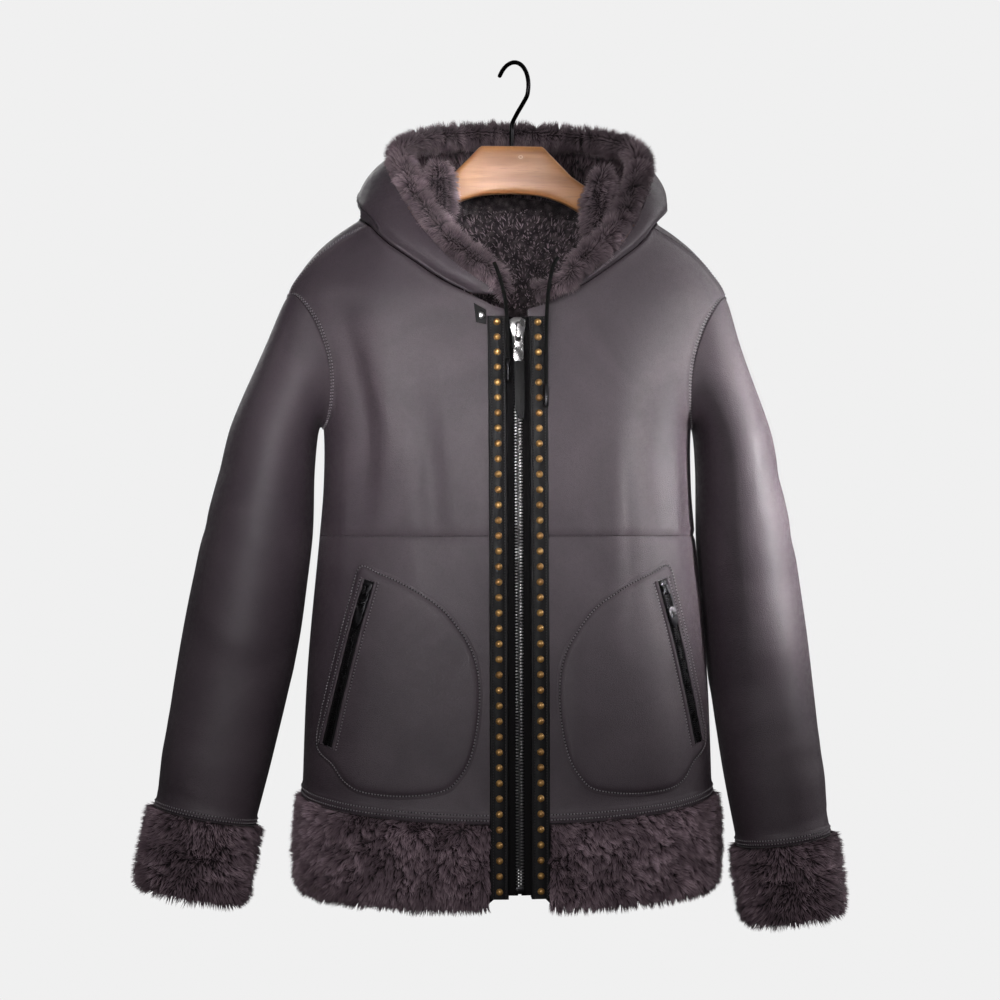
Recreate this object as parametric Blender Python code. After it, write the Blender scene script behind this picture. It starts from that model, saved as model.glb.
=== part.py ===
"""Hooded shearling jacket on a wooden hanger.

Metres, +Z up. The jacket faces -Y and the wearer's left is at +X. The origin is where the hook's crook rests on
what holds it. Each cut piece is one closed wall: leather outside, wool inside.
"""
import math
from bisect import bisect_right

import bmesh
import bpy
from mathutils import Matrix, Vector

# ---- Driving sizes ------------------------------------------------------------------------------------------
WALL = 0.008                # shearling, leather and wool together
SEAM = 0.0004               # space left between two cut edges
REST = 0.0006               # space under a piece that lies on a panel
FULLNESS = 2.2              # exponent of the body's rounded cross-sections

HEM_END = -0.812            # lowest level of the fur hem
HEM_TOP = -0.720            # level where the leather ends and the fur hem starts
WAIST = -0.470              # level of the waist seam
UNDERARM = -0.365           # lowest level of the armholes
TIP = -0.232                # shoulder tip, highest level of the armholes
NECK_FRONT = -0.250         # lowest level of the neckline
NECK_SIDE = -0.165          # level where the shoulder seam meets the neckline
OPENING = 0.011             # half the space between the two front edges

PLACKET_WIDTH = 0.0178
PLACKET_THICK = 0.0022
PLACKET_TOP = -0.258
PLACKET_END = -0.804
STUD_COUNT = 37
STUD_PITCH = 0.01475
STUD_RADIUS = 0.0032
STUD_HEIGHT = 0.0020
STUD_SINK = 0.0010          # how deep a stud stands in the strip
FIRST_STUD = 0.006          # from the strip's top to its first stud

CHAIN_WIDTH = 0.0092
CHAIN_THICK = 0.0048
CHAIN_TOP = -0.278
CHAIN_END = -0.789
CHAIN_RISE = 0.0008         # how far the chain stands above the leather
TAPE_THICK = 0.0012
TAPE_LOW = -0.0030          # height of the main tapes' underside over the leather
BOX_WIDTH = 0.0084
BOX_HEIGHT = 0.0084
BOX_LOW, BOX_HIGH = -0.0046, 0.0024
MAIN_SLIDER = {"width": 0.0150, "length": 0.0300, "thick": 0.0030, "bar": 0.0018, "pull_width": 0.0100,
               "pull_length": 0.0260, "pull_thick": 0.0018}
MAIN_SLIDER_LEVEL = -0.2745
STRAP = [                   # outline of the leather pull strap: x, distance down from the pivot
    (-0.0052, -0.0245), (0.0052, -0.0245), (0.0050, -0.0700), (0.0042, -0.0810), (-0.0010, -0.0810),
    (-0.0046, -0.0700),
]
STRAP_BACK, STRAP_FRONT = 0.0013, 0.0037
POCKET_SLIDER = {"width": 0.0090, "length": 0.0170, "thick": 0.0022, "bar": 0.0013, "pull_width": 0.0095,
                 "pull_length": 0.0360, "pull_thick": 0.0012}
POCKET_SLIDER_WAY = 0.06    # way down the slit
BRIDGE_RISE = 0.62          # height of a slider's bridge over its plate, by the slider's width

ROLL_LONG = 0.0145          # half-sizes of the fur roll along the hood's edge
ROLL_THICK = 0.0125
ROLL_SPACE = 0.0009         # space between the leather's edge and the roll
ROLL_SET_BACK = 0.002       # how far the roll's middle lies behind the leather
CORD_DIAMETER = 0.0038
WIRE_RADIUS = 0.0022
JACKET_SHIFT = -0.0035      # the jacket hangs a little to the wearer's right of the hook

# Cross-sections of the body: level, half-width, depth in front of and behind the side seam.
BODY = [
    (-0.825, 0.207, 0.108, 0.098),
    (-0.720, 0.205, 0.106, 0.096),
    (-0.600, 0.200, 0.103, 0.092),
    (-0.471, 0.188, 0.098, 0.090),
    (-0.420, 0.184, 0.095, 0.092),
    (-0.365, 0.184, 0.092, 0.095),
    (-0.335, 0.190, 0.090, 0.098),
    (-0.300, 0.200, 0.086, 0.101),
    (-0.265, 0.212, 0.081, 0.103),
    (-0.232, 0.219, 0.076, 0.104),
    (-0.206, 0.204, 0.069, 0.102),
    (-0.186, 0.187, 0.063, 0.099),
    (-0.171, 0.169, 0.057, 0.096),
    (-0.158, 0.150, 0.050, 0.093),
    (-0.140, 0.125, 0.040, 0.090),
    (-0.125, 0.105, 0.030, 0.088),
]

# How far the front hangs below the side: level, drop.
DROP = [(-0.825, 0.010), (-0.720, 0.026), (-0.600, 0.012), (-0.480, 0.0), (-0.100, 0.0)]

# Large soft folds: angle from the front centre in degrees, level, half-width in degrees, half-length,
# height (negative is a trough), lean in degrees per metre.
FOLDS = [
    (-38, -0.320, 7, 0.090, 0.0045, 20),
    (-24, -0.420, 6, 0.070, -0.0035, -30),
    (-50, -0.360, 6, 0.080, -0.0040, 0),
    (33, -0.400, 8, 0.080, 0.0040, -25),
    (20, -0.420, 6, 0.060, -0.0035, 10),
    (48, -0.380, 6, 0.080, -0.0040, 0),
    (-45, -0.640, 10, 0.080, 0.0035, 25),
    (42, -0.640, 10, 0.080, 0.0035, -25),
    (150, -0.420, 9, 0.120, 0.0050, 10),
    (-150, -0.420, 9, 0.120, 0.0050, -10),
    (172, -0.560, 8, 0.140, -0.0045, 5),
    (125, -0.600, 8, 0.110, -0.0045, 15),
    (-125, -0.620, 8, 0.110, -0.0045, -15),
]

# Neckline, from the front centre to the back centre: level, angle in degrees.
NECKLINE = [
    (-0.250, 3.6), (-0.237, 9.5), (-0.225, 16), (-0.213, 22), (-0.200, 29), (-0.187, 38), (-0.175, 48),
    (-0.165, 60), (-0.158, 80), (-0.151, 100), (-0.144, 118), (-0.138, 136), (-0.133, 155), (-0.1305, 171),
]

# Sleeve sections: way along, distance out, level, half-width, half-depth, tilt in degrees.
SLEEVE = {
    "R": [
        (0.00, 0.217, -0.300, 0.062, 0.055, 70),
        (0.12, 0.2210, -0.333, 0.044, 0.060, 46),
        (0.25, 0.2350, -0.388, 0.0455, 0.067, 18),
        (0.40, 0.2480, -0.470, 0.0540, 0.070, 9),
        (0.60, 0.267, -0.580, 0.057, 0.065, 10),
        (0.80, 0.285, -0.672, 0.054, 0.058, 11),
        (1.00, 0.300, -0.746, 0.050, 0.050, 11),
    ],
    "L": [
        (0.00, 0.217, -0.300, 0.062, 0.055, 70),
        (0.12, 0.2175, -0.333, 0.039, 0.060, 46),
        (0.25, 0.2290, -0.390, 0.0395, 0.066, 16),
        (0.40, 0.2400, -0.480, 0.0480, 0.069, 7),
        (0.60, 0.254, -0.595, 0.051, 0.064, 7),
        (0.80, 0.267, -0.693, 0.050, 0.057, 7.5),
        (1.00, 0.280, -0.777, 0.047, 0.050, 8),
    ],
}
CUFF_LENGTH = 0.078
ARMHOLE_SPREAD = 24         # degrees by which the armhole's seam stands in front of and behind the side
ARMHOLE_TIP = 80            # angle of the shoulder tip
ARMHOLE_SPACE = 0.0007      # space between the body and the sleeve, along Z and sideways
ARMHOLE_INSET = 0.12        # the same space round the body, in degrees
SLEEVE_SET_BACK = 0.004     # how far the sleeves' middle lies behind the side seams
SHOULDER_SEAM = [(-0.232, 80), (-0.200, 75), (-0.165, 61)]      # level, angle

# Hood: way round from the front (0) to the back centre (1), the leather's edge x, y, z, and how far the hood
# bulges out and sags between the neckline and that edge.
HOOD = [
    (0.00, 0.014, -0.082, -0.2440, 0.000, 0.000),
    (0.10, 0.032, -0.085, -0.2340, 0.002, 0.000),
    (0.20, 0.055, -0.082, -0.2200, 0.003, 0.000),
    (0.32, 0.083, -0.071, -0.1960, 0.004, 0.000),
    (0.44, 0.108, -0.051, -0.1640, 0.008, 0.000),
    (0.54, 0.124, -0.026, -0.1330, 0.012, 0.002),
    (0.64, 0.134, 0.010, -0.1060, 0.020, 0.008),
    (0.73, 0.126, 0.046, -0.0870, 0.035, 0.024),
    (0.82, 0.098, 0.080, -0.0740, 0.052, 0.048),
    (0.91, 0.053, 0.100, -0.0670, 0.066, 0.072),
    (1.00, 0.000, 0.107, -0.0640, 0.070, 0.082),
]
HOOD_LEAN = 0.013           # how far the hood leans to the wearer's left
HOOD_SWELL = 1.1            # exponents of the height that place the hood's fullest and its lowest point
HOOD_DROOP = 0.7
HOOD_LIFT = 0.0013          # space between the neckline and the hood's foot
HOOD_GAP = 0.0046           # half the space at a hood seam, as a way round
HOOD_TURN_HEIGHT = 0.3      # height over which the wall turns into the hood's own direction at the back
HOOD_SIDE_WAY = 0.38        # way round up to which the wall turns evenly, and the length of the change
HOOD_SIDE_BLEND = 0.54
HOOD_SEAM_FOOT = 6          # neckline point at which the hood's side panel ends
HOOD_SEAM_TOP = 0.86        # way round at which that seam reaches the edge

# Pocket patch outline at the wearer's left: x, level.
POCKET = [
    (0.152, -0.4955), (0.134, -0.501), (0.108, -0.512), (0.074, -0.532), (0.052, -0.556), (0.0405, -0.577),
    (0.0360, -0.602), (0.0375, -0.632), (0.0445, -0.662), (0.056, -0.681), (0.073, -0.694), (0.114, -0.701),
    (0.150, -0.701), (0.167, -0.694), (0.178, -0.681), (0.193, -0.668), (0.190, -0.638), (0.177, -0.582),
    (0.162, -0.527),
]
POCKET_POINTS = 26
POCKET_REST = 0.0013        # space under the patch, whose facets are larger than the panel's
POCKET_THICK = 0.0018
POCKET_ZIP = [(0.141, -0.512), (0.155, -0.560), (0.168, -0.612), (0.180, -0.662)]       # x, level
POCKET_ZIP_WIDTH = 0.0110

# Hanger bar: x, top level, bottom level, half-thickness, y.
HANGER = [
    (0.000, -0.0815, -0.1290, 0.0065, 0.000),
    (0.031, -0.0815, -0.1315, 0.0065, 0.000),
    (0.060, -0.1110, -0.1420, 0.0075, 0.002),
    (0.100, -0.1374, -0.1684, 0.0100, 0.006),
    (0.150, -0.1754, -0.2014, 0.0130, 0.010),
    (0.176, -0.2004, -0.2204, 0.0140, 0.012),
]
HOOK_TURN = 32              # degrees by which the crook is turned about its stem
CROOK_RADIUS = 0.0255
CROOK_REACH = 0.0015        # how far the crook's centre stands in front of the stem
STEM_FOOT = -0.0812

COLOURS = {                 # base colour, roughness, metallic
    "leather": ((0.105, 0.085, 0.100), 0.55, 0.0),
    "fur": ((0.060, 0.042, 0.050), 0.95, 0.0),
    "black_leather": ((0.012, 0.010, 0.012), 0.50, 0.0),
    "zip_tape": ((0.015, 0.014, 0.016), 0.85, 0.0),
    "zip_metal": ((0.45, 0.44, 0.45), 0.30, 1.0),
    "black_metal": ((0.05, 0.05, 0.055), 0.30, 1.0),
    "cord": ((0.010, 0.009, 0.010), 0.80, 0.0),
    "wood": ((0.55, 0.30, 0.16), 0.45, 0.0),
    "wire": ((0.012, 0.012, 0.013), 0.25, 1.0),
}


# ---- Small helpers ------------------------------------------------------------------------------------------
def read(rows, key):
    """A table's other columns at `key`, its first column, joined smoothly between the rows."""
    keys = [row[0] for row in rows]
    key = min(max(key, keys[0]), keys[-1])
    high = min(max(bisect_right(keys, key), 1), len(rows) - 1)
    low = high - 1
    span = keys[high] - keys[low]
    t = (key - keys[low]) / span

    def slope(i, column):
        before, after = max(i - 1, 0), min(i + 1, len(rows) - 1)
        return (rows[after][column] - rows[before][column]) / (keys[after] - keys[before])

    return [
        rows[low][c] * (2 * t**3 - 3 * t**2 + 1)
        + rows[high][c] * (3 * t**2 - 2 * t**3)
        + slope(low, c) * span * (t**3 - 2 * t**2 + t)
        + slope(high, c) * span * (t**3 - t**2)
        for c in range(1, len(rows[0]))
    ]


def power(value, exponent):
    """Signed power, for rounded cross-sections."""
    return math.copysign(abs(value) ** exponent, value)


def smooth(t):
    t = min(max(t, 0.0), 1.0)
    return t * t * (3 - 2 * t)


def spread(low, high, count):
    """`count` + 1 evenly spaced values from low to high."""
    return [low + (high - low) * i / count for i in range(count + 1)]


def mirror(point):
    return Vector((-point.x, point.y, point.z))


def material(name):
    made = bpy.data.materials.get(name)
    if made is None:
        colour, roughness, metallic = COLOURS[name]
        made = bpy.data.materials.new(name)
        made.use_nodes = True
        shader = made.node_tree.nodes["Principled BSDF"]
        shader.inputs["Base Color"].default_value = (*colour, 1)
        shader.inputs["Roughness"].default_value = roughness
        shader.inputs["Metallic"].default_value = metallic
    return made


def add_mesh(name, bm, finish):
    """Turn a bmesh into the named object, faces pointing out."""
    bmesh.ops.recalc_face_normals(bm, faces=bm.faces)
    mesh = bpy.data.meshes.new(name)
    bm.to_mesh(mesh)
    bm.free()
    mesh.shade_smooth()
    mesh.set_sharp_from_angle(angle=math.radians(40))
    obj = bpy.data.objects.new(name, mesh)
    bpy.context.scene.collection.objects.link(obj)
    mesh.materials.append(material(finish))
    return obj


def add_wall(name, outer, inner, finish, tube=False):
    """A closed wall between two grids of points, rows of equal length; a tube's rows are rings."""
    bm = bmesh.new()
    rows, columns = len(outer), len(outer[0])
    out = [[bm.verts.new(p) for p in row] for row in outer]
    ins = [[bm.verts.new(p) for p in row] for row in inner]
    wraps = columns if tube else columns - 1
    for i in range(rows - 1):
        for j in range(wraps):
            k = (j + 1) % columns
            bm.faces.new((out[i][j], out[i][k], out[i + 1][k], out[i + 1][j]))
            bm.faces.new((ins[i][j], ins[i + 1][j], ins[i + 1][k], ins[i][k]))
    for j in range(wraps):
        k = (j + 1) % columns
        bm.faces.new((out[0][j], ins[0][j], ins[0][k], out[0][k]))
        bm.faces.new((out[-1][j], out[-1][k], ins[-1][k], ins[-1][j]))
    if not tube:
        for i in range(rows - 1):
            bm.faces.new((out[i][0], out[i + 1][0], ins[i + 1][0], ins[i][0]))
            bm.faces.new((out[i][-1], ins[i][-1], ins[i + 1][-1], out[i + 1][-1]))
    return add_mesh(name, bm, finish)


def add_loft(name, rings, finish):
    """A closed solid through rings of points, with flat ends."""
    bm = bmesh.new()
    made = [[bm.verts.new(p) for p in ring] for ring in rings]
    count = len(rings[0])
    for a, b in zip(made, made[1:]):
        for j in range(count):
            k = (j + 1) % count
            bm.faces.new((a[j], a[k], b[k], b[j]))
    bm.faces.new(made[0])
    bm.faces.new(made[-1])
    return add_mesh(name, bm, finish)


def combine(obj, tool, operation):
    """Apply a Boolean of `tool` to `obj`, and remove the tool."""
    modifier = obj.modifiers.new("combine", "BOOLEAN")
    modifier.operation = operation
    modifier.solver = "EXACT"
    modifier.object = tool
    bpy.context.view_layer.update()
    evaluated = obj.evaluated_get(bpy.context.evaluated_depsgraph_get())
    mesh = bpy.data.meshes.new_from_object(evaluated)
    obj.modifiers.clear()
    obj.data = mesh
    bpy.data.objects.remove(tool)
    return obj


def normal_of(surface, u, v, du, dv):
    across = surface(u + du, v) - surface(u - du, v)
    along = surface(u, v + dv) - surface(u, v - dv)
    return across.cross(along).normalized()


# ---- Body surface -------------------------------------------------------------------------------------------
def body_base(angle, level):
    """Point on the body's leather before its folds; angle in degrees from the front centre, + to +X."""
    half_width, front, back = read(BODY, level)
    drop = read(DROP, level)[0]
    s, c = math.sin(math.radians(angle)), math.cos(math.radians(angle))
    depth = front if c > 0 else back
    y = -depth * power(c, 2 / FULLNESS)
    return Vector((half_width * power(s, 2 / FULLNESS), y, level - drop * ((1 + c) / 2) ** 2))


def fold_height(angle, level):
    total = 0.0
    for centre, middle, width, length, height, lean in FOLDS:
        away = (angle - centre - lean * (level - middle) + 180) % 360 - 180
        total += height * math.exp(-((away / width) ** 2) - ((level - middle) / length) ** 2)
    return total


def body(angle, level, out=0.0):
    """Point on the body's leather, or `out` metres outside it."""
    normal = normal_of(body_base, angle, level, 0.5, 0.001)
    return body_base(angle, level) + normal * (fold_height(angle, level) + out)


def angle_at(x, level):
    """Angle on the front at which the body is x metres from the centre."""
    half_width = read(BODY, level)[0]
    share = min(abs(x) / half_width, 1.0)
    return math.copysign(math.degrees(math.asin(share ** (FULLNESS / 2))), x)


def level_of_armhole(share):
    return UNDERARM + (TIP - UNDERARM) * share


def armhole_angle(level, side):
    """Angle of the armhole's seam, side +1 in front and -1 behind."""
    share = min(max((level - UNDERARM) / (TIP - UNDERARM), 0.0), 1.0)
    bow = math.sqrt(max(0.0, 1 - (2 * share - 1) ** 2))
    return 90 + (ARMHOLE_TIP - 90) * share**2 - side * ARMHOLE_SPREAD * bow


def neck_angle(level):
    return read(NECKLINE, level)[0]


def front_outer_edge(level):
    if level <= UNDERARM:
        return 90
    if level <= TIP:
        return armhole_angle(level, 1)
    return read(SHOULDER_SEAM, level)[0]


def back_outer_edge(level):
    if level <= UNDERARM:
        return 90
    if level <= TIP:
        return armhole_angle(level, -1)
    if level <= NECK_SIDE:
        return read(SHOULDER_SEAM, level)[0]
    return neck_angle(level)


def front_inner_edge(level):
    return angle_at(OPENING, level) if level <= NECK_FRONT else neck_angle(level)


ARM_STEPS = 8
ARM_SHARES = [(1 - math.cos(math.pi * i / ARM_STEPS)) / 2 for i in range(ARM_STEPS + 1)]
ARM_LEVELS = [level_of_armhole(share) for share in ARM_SHARES]
NECK_LEVELS = [row[0] for row in NECKLINE]
UPPER_LEVELS = sorted(
    {WAIST, -0.445, -0.418, -0.390, *ARM_LEVELS, *[z for z in NECK_LEVELS if z <= NECK_SIDE]}
)


def seam_step(level):
    """Angle that half a seam's space takes up."""
    return math.degrees(SEAM / 2 / read(BODY, level)[0]) * 1.5


def panel_angles(start, end, columns, level):
    """Angles of a panel's columns; below the shoulder only those near an armhole follow its curve."""
    even = spread(start, end, columns)
    follow = smooth((level - TIP + 0.06) / 0.05)
    ladder = []
    for k, angle in enumerate(even):
        share = k / columns
        plain = (90 if start > 45 else start) * (1 - share) + (90 if end <= 90 else 270) * share
        at_start = (start - 90) * (1 - share) ** 3 if start > 45 else 0.0
        at_end = (end - (90 if end <= 90 else 270)) * share**3
        ladder.append(plain + at_start + at_end)
    return [a * (1 - follow) + b * follow for a, b in zip(ladder, even)]


def add_body_panel(name, levels, low_edge, high_edge, columns, finish, flip=1):
    """A wall of the body between two edges, each a function of level; flip -1 mirrors it."""
    outer, inner = [], []
    for level in levels:
        step = seam_step(level)
        start, end = low_edge(level) + step, high_edge(level) - step
        angles = [flip * a for a in panel_angles(start, end, columns, level)]
        outer.append([body(a, level) for a in angles])
        inner.append([body(a, level, -WALL) for a in angles])
    return add_wall(name, outer, inner, finish)


def shoulder_level():
    """Levels at which the shoulder seam's last row stops short of the neckline's corner."""
    return NECK_SIDE - 0.002


def make_body():
    upper = [WAIST + SEAM / 2] + [z for z in UPPER_LEVELS if WAIST < z < NECK_SIDE - 0.003] + [shoulder_level()]
    lower = spread(HEM_TOP + SEAM / 2, WAIST - SEAM / 2, 8)
    for side, flip in (("L", 1), ("R", -1)):
        add_body_panel(f"front_upper_{side}", upper, front_inner_edge, front_outer_edge, 9, "leather", flip)
        add_body_panel(f"front_lower_{side}", lower, front_inner_edge, front_outer_edge, 9, "leather", flip)
    back_levels = spread(HEM_TOP + SEAM / 2, WAIST, 5) + [z for z in UPPER_LEVELS if WAIST < z]
    back_levels += [z for z in NECK_LEVELS if z > NECK_SIDE]
    add_body_panel("back", back_levels, back_outer_edge, lambda level: 360 - back_outer_edge(level), 14, "leather")


# ---- Fur hem ------------------------------------------------------------------------------------------------
HEM_PROFILE = [     # level, how far the fur stands out, how far it stands inside the leather
    (HEM_TOP - SEAM / 2, 0.0015, 0.0080),
    (-0.727, 0.0075, 0.0090),
    (-0.760, 0.0100, 0.0110),
    (-0.795, 0.0100, 0.0110),
    (-0.814, 0.0060, 0.0080),
    (HEM_END, 0.0005, 0.0040),
]


def add_hem(name, angles):
    """A length of the fur hem; beside the front edge it is flat, for the placket to lie on."""
    under_placket = OPENING + PLACKET_WIDTH + 0.0012
    outer, inner = [], []
    for level, out, inside in HEM_PROFILE:
        edge = angle_at(under_placket, level)
        flat = [abs(a) < edge * 1.01 for a in angles]
        outer.append([body(a, level, 0.0 if f else out) for a, f in zip(angles, flat)])
        inner.append([body(a, level, -inside) for a in angles])
    return add_wall(name, outer, inner, "fur")


def make_hem():
    step = seam_step(HEM_TOP)
    under_placket = OPENING + PLACKET_WIDTH + 0.0012
    start = angle_at(OPENING, HEM_TOP) + step
    flat = angle_at(under_placket, HEM_TOP)
    puffed = angle_at(under_placket + 0.004, HEM_TOP)
    front = [start, flat] + spread(puffed, 90 - step, 9)
    add_hem("hem_front_L", front)
    add_hem("hem_front_R", [-a for a in front])
    add_hem("hem_back", spread(90 + step, 270 - step, 14))


# ---- Sleeves and cuffs --------------------------------------------------------------------------------------
def ring_point(side, way, turn, grow=0.0):
    """Point of a plain sleeve section; turn runs from the inner side over the front to the outer side."""
    out, level, half_width, half_depth, tilt = read(SLEEVE[side], way)
    lean = math.radians(tilt)
    across = Vector((math.cos(lean), 0, math.sin(lean)))
    centre = Vector((out, SLEEVE_SET_BACK, level))
    return (
        centre
        + across * (half_width + grow) * math.sin(turn)
        + Vector((0, -1, 0)) * (half_depth + grow) * math.cos(turn)
    )


SLEEVE_CREASES = [      # way along, turn in degrees, reach along, reach round in degrees, height
    (0.22, 55, 0.06, 40, 0.0050),
    (0.32, 100, 0.05, 45, -0.0040),
    (0.50, -20, 0.05, 50, -0.0045),
    (0.57, 10, 0.05, 50, 0.0040),
    (0.64, -15, 0.05, 50, -0.0040),
    (0.86, 40, 0.04, 60, 0.0030),
    (0.55, 200, 0.07, 60, 0.0045),
]


def crease_height(way, turn):
    total = 0.0
    for middle, centre, reach, round_reach, height in SLEEVE_CREASES:
        away = (math.degrees(turn) - centre + 180) % 360 - 180
        total += height * math.exp(-(((way - middle) / reach) ** 2) - (away / round_reach) ** 2)
    return total


def armhole_point(index, out=0.0):
    """Point just inside the armhole's seam: up the front from the underarm, then down the back."""
    count = 2 * ARM_STEPS
    index %= count
    in_front = index <= ARM_STEPS
    level = ARM_LEVELS[index] if in_front else ARM_LEVELS[count - index]
    angle = armhole_angle(level, 1 if in_front else -1)
    middle = (UNDERARM + TIP) / 2
    inset = ARMHOLE_SPACE * 2 * (level - middle) / (TIP - UNDERARM)
    return body(angle + (ARMHOLE_INSET if in_front else -ARMHOLE_INSET), level - inset, out)


def make_sleeve(side, flip):
    count = 2 * ARM_STEPS
    ways = [0.0, 0.04, 0.09, 0.15, 0.22, 0.30, 0.40, 0.50, 0.60, 0.70, 0.80, 0.90, 1.0]
    clear = Vector((ARMHOLE_SPACE, 0, 0))
    outer, inner = [], []
    for way in ways:
        blend = smooth(way / 0.24)
        out_row, in_row = [], []
        for index in range(count):
            turn = math.radians(-90 + 360 * index / count)
            puff = crease_height(way, turn)
            outside = armhole_point(index).lerp(ring_point(side, way, turn, puff), blend)
            inside = armhole_point(index, -WALL).lerp(ring_point(side, way, turn, puff - WALL), blend)
            out_row.append(outside + clear)
            in_row.append(inside + clear)
        outer.append(out_row)
        inner.append(in_row)
    if flip < 0:
        outer = [[mirror(p) for p in row] for row in outer]
        inner = [[mirror(p) for p in row] for row in inner]
    add_wall(f"sleeve_{side}", outer, inner, "leather", tube=True)


CUFF_PROFILE = [        # share of the cuff's length, how far the fur stands out
    (0.000, 0.0010), (0.07, 0.0070), (0.35, 0.0095), (0.80, 0.0095), (1.0, 0.0030),
]


def make_cuff(side, flip):
    count = 2 * ARM_STEPS
    tilt = math.radians(SLEEVE[side][-1][5])
    down = Vector((math.sin(tilt), 0, -math.cos(tilt)))
    outer, inner = [], []
    for share, out in CUFF_PROFILE:
        shift = down * (SEAM + CUFF_LENGTH * share) + Vector((ARMHOLE_SPACE, 0, 0))
        turns = [math.radians(-90 + 360 * index / count) for index in range(count)]
        outer.append([ring_point(side, 1.0, t, out) + shift for t in turns])
        inner.append([ring_point(side, 1.0, t, -WALL) + shift for t in turns])
    if flip < 0:
        outer = [[mirror(p) for p in row] for row in outer]
        inner = [[mirror(p) for p in row] for row in inner]
    add_wall(f"cuff_{side}", outer, inner, "fur", tube=True)


# ---- Hood ---------------------------------------------------------------------------------------------------
NECK_COUNT = len(NECK_LEVELS)


def neck_point(way, out=0.0):
    """Neckline at `way` round from the front, read between its own points."""
    place = min(way, 1.0) * NECK_COUNT
    index = min(int(place), NECK_COUNT - 1)
    share = place - index

    def own(i):
        if i >= NECK_COUNT:
            return body(180, NECK_LEVELS[-1], out)
        return body(NECKLINE[i][1], NECK_LEVELS[i], out)

    return own(index).lerp(own(index + 1), share)


def neck_normal(way):
    """Outward direction of the body's leather at the neckline, way 0 to 2."""
    half = way if way <= 1 else 2 - way
    out = (neck_point(half) - neck_point(half, -WALL)).normalized()
    return out if way <= 1 else mirror(out)


def hood_half(way, height):
    """Point on the left half of the hood's leather, before it leans."""
    x, y, z, bulge, sag = read(HOOD, way)
    foot = neck_point(way)
    place = min(way, 1.0) * NECK_COUNT
    keyed = [(i, row[1]) for i, row in enumerate([*NECKLINE, (0, 180)])]
    angle = math.radians(read(keyed, place)[0])
    outward = Vector((math.sin(angle), -math.cos(angle), 0))
    swell = math.sin(math.pi * height**HOOD_SWELL)
    droop = math.sin(math.pi * height**HOOD_DROOP) ** 2
    return foot.lerp(Vector((x, y, z)), height) + outward * bulge * swell - Vector((0, 0, sag * droop))


def hood(way, height):
    """Point on the hood's leather: way 0 to 2 round from the left front to the right front, height 0 to 1."""
    point = hood_half(way, height) if way <= 1 else mirror(hood_half(2 - way, height))
    lean = HOOD_LEAN * height * smooth(min(way, 2 - way) * 6)
    return point + Vector((lean, 0, 0))


def hood_normal(way, height):
    way = min(max(way, 0.02), 1.98)
    height = min(max(height, 0.03), 0.97)
    return normal_of(hood, way, height, 0.01, 0.02)


def hood_outward(way, height):
    """Direction across the hood's wall, from its wool to its leather.

    At the foot it lies halfway between the body's wall and the hood's. Round the back it soon becomes the hood's
    own normal, and on the short sides it turns evenly up to the edge.
    """
    foot = (neck_normal(way) + hood_normal(way, 0)).normalized()
    even = foot.lerp(hood_normal(way, 1), height)
    close = foot.lerp(hood_normal(way, height), smooth(height / HOOD_TURN_HEIGHT))
    local = smooth((min(way, 2 - way) - HOOD_SIDE_WAY) / HOOD_SIDE_BLEND)
    return even.lerp(close, local).normalized()


def hood_seam(height):
    foot = HOOD_SEAM_FOOT / NECK_COUNT
    return foot + (HOOD_SEAM_TOP - foot) * smooth(height)


HOOD_HEIGHTS = [0.0, 0.08, 0.17, 0.27, 0.38, 0.50, 0.62, 0.75, 0.88, 1.0]
HOOD_FRONT = 1 / NECK_COUNT     # way at which the side panels start
HOOD_SIDE_COLUMNS = 2 * (HOOD_SEAM_FOOT - 1)
HOOD_BACK_COLUMNS = 2 * (NECK_COUNT - HOOD_SEAM_FOOT)


def add_hood_panel(name, start, end, columns):
    """A hood panel between two seams, each a function of height; its foot meets the neckline."""
    lift = Vector((0, 0, HOOD_LIFT))
    outer, inner = [], []
    for height in HOOD_HEIGHTS:
        ways = spread(start(height), end(height), columns)
        outside = [hood(way, height) + lift for way in ways]
        outer.append(outside)
        inner.append([p - hood_outward(way, height) * WALL for p, way in zip(outside, ways)])
    return add_wall(name, outer, inner, "leather")


def make_hood():
    gap, front = HOOD_GAP, HOOD_FRONT
    add_hood_panel("hood_side_L", lambda h: front, lambda h: hood_seam(h) - gap, HOOD_SIDE_COLUMNS)
    add_hood_panel("hood_side_R", lambda h: 2 - hood_seam(h) + gap, lambda h: 2 - front, HOOD_SIDE_COLUMNS)
    add_hood_panel(
        "hood_centre", lambda h: hood_seam(h) + gap, lambda h: 2 - hood_seam(h) - gap, HOOD_BACK_COLUMNS
    )


def add_roll(name, ways, taper):
    """A length of the fur roll that is turned out along the hood's edge."""
    rings = []
    for index, way in enumerate(ways):
        edge = hood(way, 1.0) + Vector((0, 0, HOOD_LIFT))
        rise = hood(way, 1.0) - hood(way, 0.9)
        along = (hood(way + 0.01, 1.0) - hood(way - 0.01, 1.0)).normalized()
        rise = (rise - along * rise.dot(along)).normalized()
        normal = along.cross(rise)
        size = taper(index / (len(ways) - 1))
        centre = edge + rise * (ROLL_LONG * size + ROLL_SPACE) - normal * ROLL_SET_BACK
        rings.append([
            centre + rise * ROLL_LONG * size * math.cos(a) + normal * ROLL_THICK * size * math.sin(a)
            for a in [2 * math.pi * k / 8 for k in range(8)]
        ])
    return add_loft(name, rings, "fur")


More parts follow.
